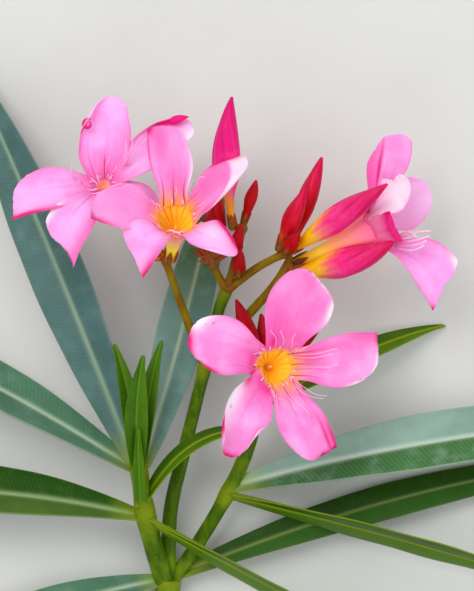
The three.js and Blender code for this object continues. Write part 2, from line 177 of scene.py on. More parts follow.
# A spline through every point. Each gap counts by its square root, so close points make no loop.
def line_through(points):
    points = [np.asarray(p, float) for p in points]
    points = [2 * points[0] - points[1], *points, 2 * points[-1] - points[-2]]
    rows = []
    for a, b, c, d in zip(points, points[1:], points[2:], points[3:]):
        first, span, last = (math.sqrt(np.linalg.norm(q - p)) for p, q in ((a, b), (b, c), (c, d)))
        leave = ((b - a) / first - (c - a) / (first + span) + (c - b) / span) * span
        arrive = ((c - b) / span - (d - b) / (span + last) + (d - c) / last) * span
        t = np.linspace(0, 1, STRETCH_POINTS)[:, None]
        rows.append((2 * t ** 3 - 3 * t ** 2 + 1) * b + (t ** 3 - 2 * t ** 2 + t) * leave
                    + (3 * t ** 2 - 2 * t ** 3) * c + (t ** 3 - t ** 2) * arrive)
    joined = np.concatenate([rows[0]] + [row[1:] for row in rows[1:]])
    return Line(joined)


def frames(line, share, lean=UP, roll=0.0):
    share = np.asarray(share, float)
    heading = line.heading(share)
    left = unit(np.cross(lean, heading))
    top = np.cross(heading, left)
    turn = np.asarray(roll, float)[..., None]
    turned_left = left * np.cos(turn) + top * np.sin(turn)
    turned_top = top * np.cos(turn) - left * np.sin(turn)
    return line.at(share), heading, turned_left, turned_top


print("a 90 mm test line measures", round(line_by((0, 0, 0), (45, 0, 0), (90, 0, 0)).length, 2))

# %% [markdown]
# ## Skins
# Nearly everything on the branch is one of two skins. A limb is a closed tube of rings, for
# stems, buds and threads. A blade is a thin sheet with an upper face, an underside and a rim,
# for leaves, petals and sepals. Both are grids of points, so NumPy can shape all points at
# once, and both end up closed, as a real leaf or petal is.

# %% Skins from grids of points
def strip_faces(rows, columns, closed):
    across = np.arange(columns if closed else columns - 1)
    down = np.arange(rows - 1)[:, None] * columns
    near = down + across
    far = down + (across + 1) % columns
    return np.stack([near, far, far + columns, near + columns], -1).reshape(-1, 4)


def cap_faces(columns, offset, outward):
    near = np.arange(columns // 2 - 1)
    far = columns - 1 - near
    order = (near, near + 1, far - 1, far) if outward else (near, far, far - 1, near + 1)
    return np.stack(order, -1) + offset


def tube_faces(rows, sides):
    return np.concatenate([strip_faces(rows, sides, True), cap_faces(sides, 0, False),
                           cap_faces(sides, (rows - 1) * sides, True)])


def limb_skin(line, radius_at, sides, rows, lean=UP, **carry):
    share = np.linspace(0, 1, rows)[:, None] * np.ones(sides)
    angle = np.linspace(0, 2 * math.pi, sides, endpoint=False) * np.ones((rows, 1))
    centre, _, left, top = frames(line, share, lean)
    radius = radius_at(share, angle)[..., None]
    points = centre + left * radius * np.cos(angle)[..., None] + top * radius * np.sin(angle)[..., None]
    values = {name: make(share, angle).ravel() for name, make in carry.items()}
    values["along"] = share.ravel()
    return points.reshape(-1, 3), tube_faces(rows, sides), values


def sheet_grid(rows, columns):
    return np.meshgrid(np.linspace(0, 1, rows), np.linspace(1, -1, columns), indexing="ij")


def blade_skin(upper, thickness, **carry):
    rows, columns = upper.shape[:2]
    normal = unit(np.cross(np.gradient(upper, axis=1), np.gradient(upper, axis=0)))
    lower = upper - normal * np.asarray(thickness)[..., None]
    count = rows * columns
    top_faces = strip_faces(rows, columns, False)
    grid = np.arange(count).reshape(rows, columns)
    rim = np.concatenate([grid[0, :-1], grid[:-1, -1], grid[-1, :0:-1], grid[:0:-1, 0]])
    after = np.roll(rim, -1)
    rim_faces = np.stack([rim, rim + count, after + count, after], -1)
    faces = np.concatenate([top_faces, top_faces[:, ::-1] + count, rim_faces])
    values = {name: np.tile(np.broadcast_to(v, (rows, columns)).ravel(), 2) for name, v in carry.items()}
    values["under"] = np.repeat([0.0, 1.0], count)
    return np.concatenate([upper.reshape(-1, 3), lower.reshape(-1, 3)]), faces, values


def join(skins):
    offset = 0
    points, faces = [], []
    for part_points, part_faces, _ in skins:
        points.append(part_points)
        faces.append(part_faces + offset)
        offset += len(part_points)
    labels = sorted(set().union(*(values for _, _, values in skins)))
    values = {label: np.concatenate([own.get(label, np.zeros(len(part))) for part, _, own in skins])
              for label in labels}
    return np.concatenate(points), np.concatenate(faces), values


print("faces of a small closed limb:", len(tube_faces(4, 8)))

# %% [markdown]
# ## From a skin to a piece of the branch
# One function turns a skin into a Blender mesh, moves it from the branch's own millimetres to
# the model's metres, stores the carried numbers, hangs it from the root and hides the solid
# that it stands for. Each leaf, petal and bud stays a piece of its own, because that is how
# a gardener would take the branch apart.

# %% Making a piece
BRANCH_MIDDLE = np.array([-4.2, -17.4, 0.24])  # the point of the branch that is the model's origin
TABLE_TOP = BRANCH_MIDDLE[2]


def make_piece(name, skin, material, node):
    points, faces, values = skin
    points[:, 2] = np.maximum(points[:, 2], TABLE_TOP)
    mesh = bpy.data.meshes.new(name)
    mesh.from_pydata(((points - BRANCH_MIDDLE) / 1000).tolist(), [], faces.tolist())
    for label, numbers in values.items():
        attribute = mesh.attributes.new(label, "FLOAT", "POINT")
        attribute.data.foreach_set("value", np.asarray(numbers, np.float32))
    mesh.polygons.foreach_set("use_smooth", [True] * len(mesh.polygons))
    mesh.materials.append(material)
    mesh.update()
    piece = bpy.data.objects.new(name, mesh)
    bpy.context.scene.collection.objects.link(piece)
    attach(piece, "root")
    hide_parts(node)
    return piece


# %% [markdown]
# ## Young green bark
# The shoots of this year are green, not brown: a smooth waxy skin over green tissue, with
# fine lengthwise fibres, paler raised breathing pores and a reddish tint round each joint
# where a leaf or stalk leaves. A photograph wrapped round the stem would show its seam, so
# the streaks are noise stretched along the branch, and the tint is a number on the mesh.

# %% Bark finish
def bark(name, light, body, dark, joint_tint):
    material, tree = new_material(name)
    streaks = soft_noise(tree, 1.6, 4.0, (1.0, 0.14, 1.0))
    patches = soft_noise(tree, 9.0, 2.0)
    pores = soft_noise(tree, 0.55, 1.0)
    tone = tint(tree, dark, body, streaks, 0.32, 0.68)
    tone = tint(tree, tone, light, patches, 0.5, 0.72, 0.75)
    tone = tint(tree, tone, light, pores, 0.66, 0.74, 0.5)
    tone = tint(tree, tone, joint_tint, "joint")
    optics = {"Roughness": 0.45, "IOR": 1.42, "Specular IOR Level": 0.14}
    finish_material(tree, tone, optics, streaks, 0.12, 1.0)
    return material


green_bark = bark("waxy_green_bark", "#7E9E0E", "#507002", "#345402", "#84920E")
stalk_bark = bark("brownish_flower_stalk_skin", "#A4900C", "#8E7400", "#7A5604", "#90481A")
print("bark finishes:", green_bark.name, stalk_bark.name)

# %% [markdown]
# ## Stems
# A stem tapers a little from its foot to its tip and swells where a leaf pair or a fork is.
# Each is one limb along the route that its solid has, so it can't drift from the model. It
# starts inside the stem that carries it, as the wood really does, and has faint ribs along it.

# %% Where the stems run
FORK = (-17, -70.4, 4.6)
LEFT_NODE = (-22.4, -54.2, 12.4)
LEFT_TIP = (-24.2, -41.4, 16)
RIGHT_NODE = (-2.2, -49, 8)
RIGHT_TIP = (7.4, -17.4, 13.6)
FIRST_NODE = (-7.8, -17.6, 14.4)
SECOND_NODE = (-2.6, 1.2, 18)
LEFT_TOP = (-17.4, 8.4, 19.4)
RIGHT_TOP = (12.6, 7.6, 17.4)
MIDDLE_TOP = (1.4, 16.4, 20)
TUFT_TOP = (-6, 7.6, 19.6)
CLUSTER_TOP = (11.4, 10.2, 19.8)

# Each row: node, route, radius at foot and tip, and the shares of its length that swell.
STEMS = [
    ("main_stem", [(-17.2, -87, 2.9), (-17.4, -79, 3), FORK], (2.8, 2.7), [1.0]),
    ("left_shoot", [(-17.6, -71.4, 4.6), (-20.4, -62.4, 8.4), LEFT_NODE, LEFT_TIP],
     (2.6, 1.9), [0.62, 1.0]),
    ("flower_stalk", [FORK, (-16.4, -53.6, 7), (-13, -38.6, 10), FIRST_NODE, (-4.4, -3.6, 16.8),
                      SECOND_NODE], (1.9, 1.3), [0.74, 1.0]),
    ("right_shoot", [(-15.6, -70.6, 4.4), (-9.2, -61, 5.4), RIGHT_NODE, (2.4, -38.6, 10.2), RIGHT_TIP],
     (1.7, 1.8), [0.43, 0.98]),
    ("left_flower_stalk", [FIRST_NODE, (-13.2, -3.4, 16.2), LEFT_TOP], (1.1, 0.9), [0.0, 1.0]),
    ("right_flower_stalk", [FIRST_NODE, (1.6, -6.2, 15.4), (8.8, 2, 16.4), RIGHT_TOP],
     (1.3, 1.0), [0.0, 1.0]),
    ("tuft_stalk", [SECOND_NODE, (-4.6, 5, 19), TUFT_TOP], (1.0, 0.9), [0.0, 1.0]),
    ("middle_bud_stalk", [(-2.2, 2.4, 18.2), (-0.2, 9, 19), MIDDLE_TOP], (1.0, 0.8), [0.0, 0.4, 1.0]),
    ("cluster_stalk", [SECOND_NODE, (5.2, 6.9, 19), CLUSTER_TOP], (1.1, 0.9), [0.0, 1.0]),
]
print("stems:", [name for name, *_ in STEMS])

# %% Growing the stems
GREEN_STEMS = ("main_stem", "left_shoot", "flower_stalk", "right_shoot")
STEM_SIDES = 32
STEM_ROWS_PER_MM = 1.6
JOINT_REACH = 1.6  # how far along the stem a joint swells it, in radii of its foot
JOINT_SWELLING = 0.2  # what a joint adds to the radius, in shares of it
JOINT_TINT = 0.7


def stem_skin(route, radii, swellings):
    line = line_through(route)
    foot, tip = radii
    joint_reach = JOINT_REACH * foot

    def near_joint(share):
        return sum(np.exp(-((share - place) * line.length / joint_reach) ** 2) for place in swellings)

    def radius_at(share, angle):
        ribs = 0.05 * np.cos(3 * angle + 0.8 * share) + 0.02 * np.cos(11 * angle)
        return (foot + (tip - foot) * share) * (1 + ribs + JOINT_SWELLING * near_joint(share))

    def reddish(share, angle):
        return JOINT_TINT * near_joint(share)

    rows = max(24, int(line.length * STEM_ROWS_PER_MM))
    return limb_skin(line, radius_at, STEM_SIDES, rows, joint=reddish)


for name, route, radii, swellings in STEMS:
    skin = stem_skin(route, radii, swellings)
    material = green_bark if name in GREEN_STEMS else stalk_bark
    piece = make_piece(name + "_bark", skin, material, name)
    print(piece.name, "faces", len(piece.data.polygons))

# %% [markdown]
# ## The cut end
# Secateurs leave a flat oval of fresh wood: a thin green rim of bark, a pale ring of wood and
# a soft pith in the middle. The face is the end of a very short limb that closes from
# the bark's radius to nothing, so it carries its own distance from the pith as a number. The
# ring of wood is coloured by that number, which keeps the rings round and centred.

# %% Cut face
def cut_wood():
    material, tree = new_material("freshly_cut_green_wood")
    grain = soft_noise(tree, 0.5, 3.0)
    tone = tones_by(tree, "ring", [(0.0, "#EDE6BE"), (0.2, "#E2DAA0"), (0.32, "#CDC97E"),
                                   (0.84, "#D6D290"), (0.92, "#88A038"), (1.0, "#4C6C00")])
    tone = tint(tree, tone, "#B8B66A", grain, 0.45, 0.7, 0.4)
    finish_material(tree, tone, {"Roughness": 0.7, "IOR": 1.4}, grain, 0.08)
    return material


def cut_face_skin(route, radius):
    line = line_through(route)
    foot, inward = line.at(0.0), line.heading(0.0)

    def ring(share, angle):
        return np.clip((1 - share) / 0.75, 0, 1) ** 0.7

    def radius_at(share, angle):
        return radius * ring(share, angle) + 0.02

    path = Line([foot + inward * 0.1, foot - inward * 0.1, foot - inward * 0.3])
    return limb_skin(path, radius_at, STEM_SIDES, 24, ring=ring)


name, route, radii, _ = STEMS[0]
skin = cut_face_skin(route, 1.16 * radii[0])
piece = make_piece(name + "_cut_face", skin, cut_wood(), name)
print(piece.name, "faces", len(piece.data.polygons))

# %% [markdown]
# ## Leathery leaves
# An oleander leaf is a thick lance-shaped blade with one strong pale midrib and very many
# fine side veins that run out to the edge, leaning a little to the tip. Its wax makes it
# satin, and the older leaves look blue-grey where they mirror the sky; that blue-grey is
# painted into their colour as a painted reflection. The side veins are a wave over two carried
# numbers, the distance along the midrib and the distance out from it, with one vein every
# 1.1 mm. They are twice as far apart as real ones, or the render couldn't show them. The
# halves of one leaf face different parts of the sky, so each half is painted its own green,
# a painted reflection of the sky that the half faces.

# %% Leaf finish
VEIN_SPACING = 1.1  # millimetres from vein to vein
VEIN_RATE = 2 * math.pi / VEIN_SPACING
VEIN_SLANT = 0.5  # how far a vein runs towards the tip for each millimetre out


def side_veins(tree):
    reach, aside = (add(tree, "ShaderNodeAttribute", attribute_name=label).outputs["Fac"]
                    for label in ("reach", "aside"))
    row = add(tree, "ShaderNodeMath", {0: reach, 1: VEIN_RATE}, operation="MULTIPLY").outputs[0]
    slanted = add(tree, "ShaderNodeMath", {0: aside, 1: -VEIN_SLANT * VEIN_RATE, 2: row},
                  operation="MULTIPLY_ADD").outputs[0]
    return add(tree, "ShaderNodeMath", {0: slanted}, operation="SINE").outputs[0]


def leaf_surface(name, left_half, right_half, rib, pale, roughness=0.48, far_end=None):
    material, tree = new_material(name)
    veins = side_veins(tree)
    clouds = soft_noise(tree, 16.0, 3.0)
    streaks = soft_noise(tree, 5.0, 4.0)
    specks = soft_noise(tree, 0.7, 2.0)
    # The two halves get different greens: a painted reflection of the sky, not a colour of the leaf.
    tone = tint(tree, right_half, left_half, "side", -0.06, 0.06)
    if far_end:
        tone = tint(tree, tone, far_end, "along", 0.45, 0.7)
    dark = add(tree, "ShaderNodeHueSaturation",
               {"Value": 0.62, "Saturation": 1.1, "Color": tone}).outputs[0]
    tone = tint(tree, tone, dark, clouds, 0.62, 0.34, 0.7)
    tone = tint(tree, tone, pale, streaks, 0.5, 0.75, 0.35)
    tone = tint(tree, tone, pale, veins, 0.0, 1.0, 0.09)
    tone = tint(tree, tone, pale, specks, 0.6, 0.8, 0.15)
    tone = tint(tree, tone, rib, "edge", 0.0, 1.0, 0.5)
    tone = tint(tree, tone, rib, "midrib")
    tone = tint(tree, tone, "#8C9E1C", "along", 0.09, 0.0, 0.8)
    tone = tint(tree, tone, pale, "under", 0.0, 1.0, 0.4)
    height = add(tree, "ShaderNodeMath", {0: veins, 1: 0.4, 2: specks}, operation="MULTIPLY_ADD")
    optics = {"Roughness": roughness, "IOR": 1.42, "Specular IOR Level": 0.16}
    finish_material(tree, tone, optics, height.outputs[0], 0.03)
    return material


blue_leaf = leaf_surface("waxy_blue_grey_leaf", "#54746E", "#4F706C", "#8FA68C", "#6E908A")
grey_leaf = leaf_surface("waxy_grey_green_leaf", "#557C64", "#4E7A5E", "#A9BFA2", "#7A9C88")
sheen_leaf = leaf_surface("pale_sheen_leaf", "#8CAC9C", "#44743E", "#C2D2C2", "#9CB8AA")
split_leaf = leaf_surface("dark_green_leaf", "#4E6C2C", "#225000", "#92AA72", "#54782E")
deep_leaf = leaf_surface("deep_green_leaf", "#24480A", "#34601E", "#7A8C4C", "#446A2C")
inner_leaf = leaf_surface("light_blue_green_leaf", "#83A89E", "#6C948A", "#B4C6A4", "#94B4AC",
                          far_end="#48702E")
fresh_leaf = leaf_surface("fresh_green_leaf", "#386000", "#4E7800", "#98AC14", "#5E8404", 0.42)
young_leaf = leaf_surface("young_green_leaf", "#3C6A04", "#48740A", "#5E8810", "#5A8414", 0.42)
print("leaf finishes:", blue_leaf.name, grey_leaf.name, sheen_leaf.name, split_leaf.name, deep_leaf.name,
      inner_leaf.name, fresh_leaf.name, young_leaf.name)

# %% [markdown]
# ## The blade of a leaf
# A leaf could be a plane bent by a lattice, but the blade has a groove over its midrib, two
# halves that fold up like a shallow trough, margins that turn down a little and a gentle
# ripple. Written as sums over a grid those are four short terms. The width follows the same
# curve as the solid's, from a short stalk to a fine tip.

# %% Where the leaves grow
# Each row: node, foot, middle, tip, width, roll and fold in degrees, finish.
LEAVES = [
    ("leaf_upper_left", (-25, -42, 15.4), (-45.6, 10, 13), (-69.6, 63.8, 0.8), 15.5, -24, 12, blue_leaf),
    ("leaf_left", (-25, -43, 14.4), (-71.6, -16.4, 12), (-116.6, 1.4, 0.8), 14, 40, 14, grey_leaf),
    ("leaf_inner", (-22.8, -42, 15.6), (-12.4, -3.4, 8), (-2.8, 36, 0.8), 12, 0, 14, inner_leaf),
    ("leaf_lower_left", (-23.6, -54.6, 12), (-73, -48, 12), (-124, -52.4, 0.8), 15, 38, 16, split_leaf),
    ("leaf_crossing", (-21.6, -55.4, 13.6), (15.6, -75.4, 13.6), (54.4, -96.4, 5), 13, 71, 10,
     fresh_leaf),
    ("leaf_short", (-22.6, -50.6, 14.2), (-10.4, -36.4, 17.4), (6.2, -33, 19), 5, -50, 10, fresh_leaf),
    ("leaf_right", (-1.6, -47.6, 9), (53.2, -35.4, 11), (115.6, -29.8, 0.8), 15, -28, 14, sheen_leaf),
    ("leaf_lower_right", (-1.6, -49.6, 9.4), (43.2, -60.8, 13.6), (90.6, -75.8, 4.4), 13, 69, 8,
     fresh_leaf),
    ("leaf_behind", (7.8, -26.4, 12), (31.2, -14.2, 7), (52, -7.4, 0.8), 8, -50, 8, fresh_leaf),
    ("fork_leaf_left", (-18.6, -70.8, 4.6), (-54.2, -80.4, 6.4), (-91.6, -98.6, 0.8), 11, 30, 12,
     grey_leaf),
    ("fork_leaf_right", (-14.8, -69.4, 4.4), (42, -50.2, 3.4), (100.6, -39.8, 0.8), 9, -24, 8,
     deep_leaf),
    ("young_leaf_left", (-25, -42, 17), (-26.2, -27, 21), (-30, -11.8, 20), 4.6, 20, 18, young_leaf),
    ("young_leaf_middle", (-24.2, -42.6, 17.4), (-24.4, -28, 24), (-22.8, -14.6, 24), 5.6, 0, 22,
     young_leaf),
    ("young_leaf_dark", (-23.4, -42, 17), (-21.6, -26, 20), (-18.4, -11, 19), 5, -30, 18, young_leaf),
    ("young_leaf_front", (-23.6, -51.8, 15), (-24, -41.6, 20.6), (-24, -32.4, 24), 2.4, 0, 20,
     young_leaf),
]
print("leaves:", len(LEAVES))

# %% Growing the leaves
LEAF_STALK = 1.2  # what the stalk adds to half the width at a leaf's foot
LEAF_COLUMNS = 37
LEAF_ROWS_PER_MM = 1.2
BLADE_THICKNESS = 0.32
RIB_THICKNESS = 0.0115  # of the midrib at its foot, in shares of the leaf's length
THINNEST_RIB = 1.0
GROOVE_DEPTH = 0.28
GROOVE_WIDTH = 0.45
RIPPLE_HEIGHT = 0.009  # in shares of the leaf's width, as is the next
MARGIN_DROP = 0.035
TIP_START = 0.985  # where the blade begins to close into its tip


def blade_half_width(share, width):
    blade = 0.5 * width * np.sin(math.pi * np.clip(share, 0, 1) ** 0.9)
    return blade + LEAF_STALK * (1 - share) ** 6 + 0.25


def leaf_skin(start, by, tip, width, roll, fold, seed):
    line = line_by(start, by, tip)
    fold = math.radians(fold)
    share, across = sheet_grid(max(50, int(line.length * LEAF_ROWS_PER_MM)), LEAF_COLUMNS)
    centre, _, left, top = frames(line, share, UP, math.radians(roll) * np.ones_like(share))
    closing = np.clip((share - TIP_START) / (1 - TIP_START), 0, 1)
    aside = across * blade_half_width(share, width) * (1 - 0.35 * closing)
    phase = 0.28 * share * line.length + seed + 1.3 * np.sign(across)
    ripple = RIPPLE_HEIGHT * width * np.sin(phase) * across ** 2
    turned_down = -MARGIN_DROP * width * np.abs(across) ** 5
    trough = np.sqrt(aside ** 2 + 0.25) * math.sin(fold) - 0.1
    groove = -GROOVE_DEPTH * np.exp(-(aside / GROOVE_WIDTH) ** 2)
    rise = trough + groove + (ripple + turned_down) * np.sin(math.pi * share)
    upper = centre + left * (aside * math.cos(fold))[..., None] + top * rise[..., None]
    rib = max(THINNEST_RIB, RIB_THICKNESS * line.length) * (1 - 0.6 * share ** 4)
    thickness = BLADE_THICKNESS + (rib - BLADE_THICKNESS) * np.exp(-(aside / 0.9) ** 2)
    midrib = np.exp(-(aside / (0.15 + 0.045 * width * (1 - 0.7 * share))) ** 2)
    edge = np.exp(-((1 - np.abs(across)) / 0.03) ** 2)
    return blade_skin(upper + top * 0.3, thickness, along=share, reach=share * line.length,
                      aside=np.abs(aside), side=across, midrib=0.9 * midrib, edge=edge)


for number, (name, start, by, tip, width, roll, fold, material) in enumerate(LEAVES):
    skin = leaf_skin(start, by, tip, width, roll, fold, number)
    piece = make_piece(name + "_blade", skin, material, name)
    print(piece.name, "length", round(line_by(start, by, tip).length), "mm")

# %% [markdown]
# ## Silky petals
# A petal is a sheet of tissue a third of a millimetre thick. Light goes into it and comes
# out again, which is why it glows, so the shader has some subsurface scattering and no hard
# shine. The tone runs from a deep rose claw to a pale middle, with veins that fan out from
# the claw. Rims, worn pale patches and magenta spots have a place on the real petal, so they
# are carried numbers. Two marks stand for light and shade instead: a broad pale mark on a
# shaded petal of the right bloom is painted light, and a rose mark beyond the fold of the left
# bloom's lower petal is painted shade.

# %% Petal finish
VEIN_STRETCH = (13.0, 1.1, 1.0)  # about thirteen veins to half a petal, long and thin


def fan_veins(tree, along):
    across = add(tree, "ShaderNodeAttribute", attribute_name="across").outputs["Fac"]
    fan = add(tree, "ShaderNodeCombineXYZ", {"X": across, "Y": along}).outputs[0]
    stretched = add(tree, "ShaderNodeMapping", {"Vector": fan, "Scale": VEIN_STRETCH}).outputs[0]
    noise = add(tree, "ShaderNodeTexNoise", {"Vector": stretched, "Scale": 1.0, "Detail": 4.0})
    return noise.outputs["Fac"]


def petal_surface(name, claw, near, body, tip):
    material, tree = new_material(name)
    along = add(tree, "ShaderNodeAttribute", attribute_name="along").outputs["Fac"]
    veins = fan_veins(tree, along)
    clouds = soft_noise(tree, 8.0, 3.0)
    tone = tones_by(tree, "along", [(0.0, claw), (0.14, near), (0.42, body), (1.0, tip)])
    tone = tint(tree, tone, "#FFC4F8", clouds, 0.44, 0.66, 0.5)
    tone = tint(tree, tone, "#F873C2", clouds, 0.5, 0.3, 0.35)
    tone = tint(tree, tone, "#F358AA", "rose")
    fine = add(tree, "ShaderNodeMapRange", {"Value": veins, "From Min": 0.52, "From Max": 0.72})
    fading = add(tree, "ShaderNodeMapRange", {"Value": along, "From Max": 0.7,
                                              "To Min": 0.7, "To Max": 0.08})
    lines = add(tree, "ShaderNodeMath", {0: fine.outputs[0], 1: fading.outputs[0]}, operation="MULTIPLY")
    tone = tint(tree, tone, "#E83C96", lines.outputs[0])
    backside = tint(tree, "#FBC2EC", "#F4749E", "along", 0.32, 0.02)
    for label, paint in (("under", backside), ("pale", "#FFECF8"), ("deep", "#E8157C"),
                         ("gold", "#FFAE28"), ("burn", "#8E1038")):
        tone = tint(tree, tone, paint, label)
    optics = {"Roughness": 0.55, "IOR": 1.4, "Specular IOR Level": 0.25,
              "Subsurface Weight": 0.12, "Subsurface Scale": 0.0015}
    finish_material(tree, tone, optics, veins, 0.2)
    return material


front_petal = petal_surface("rose_petal", "#E0388C", "#F263B2", "#F98AD4", "#FA8ED4")
back_petal = petal_surface("lilac_pink_petal", "#EC58A4", "#F886CC", "#FCA8EE", "#FBA4E6")
print("petal finishes:", front_petal.name, back_petal.name)

# %% [markdown]
# ## Where the blooms open
# Each bloom is a tube that widens into a funnel, with five petals that leave its mouth like
# the blades of a pinwheel. A bloom has a foot and a throat, the ends of its tube, the way it is
# facing, the radius of its mouth, and blush for how salmon it is inside. The rows below hold
# what differs from petal to petal:
#
# - tip and width in millimetres, bow and arch for how far its middle bends aside and up;
# - corners, left and right, near 0 for a rounded end and 1 for a square one, below 0 for one
#   that tapers, and slant for an end that runs further on one side;
# - roll for the turn of its face and folds for a side that is bent up, both in degrees, and
#   slim for a side that is cut in near the claw;
# - turned for a border beyond which the worn pale side shows;
# - guides and gold for the lines and the golden foot at the mouth, and widest for the place of
#   its full width.
#
# Marks are (kind, along, across, length, width, strength) in shares of the petal. A strength
# over 1 gives a spot with a broad full middle.

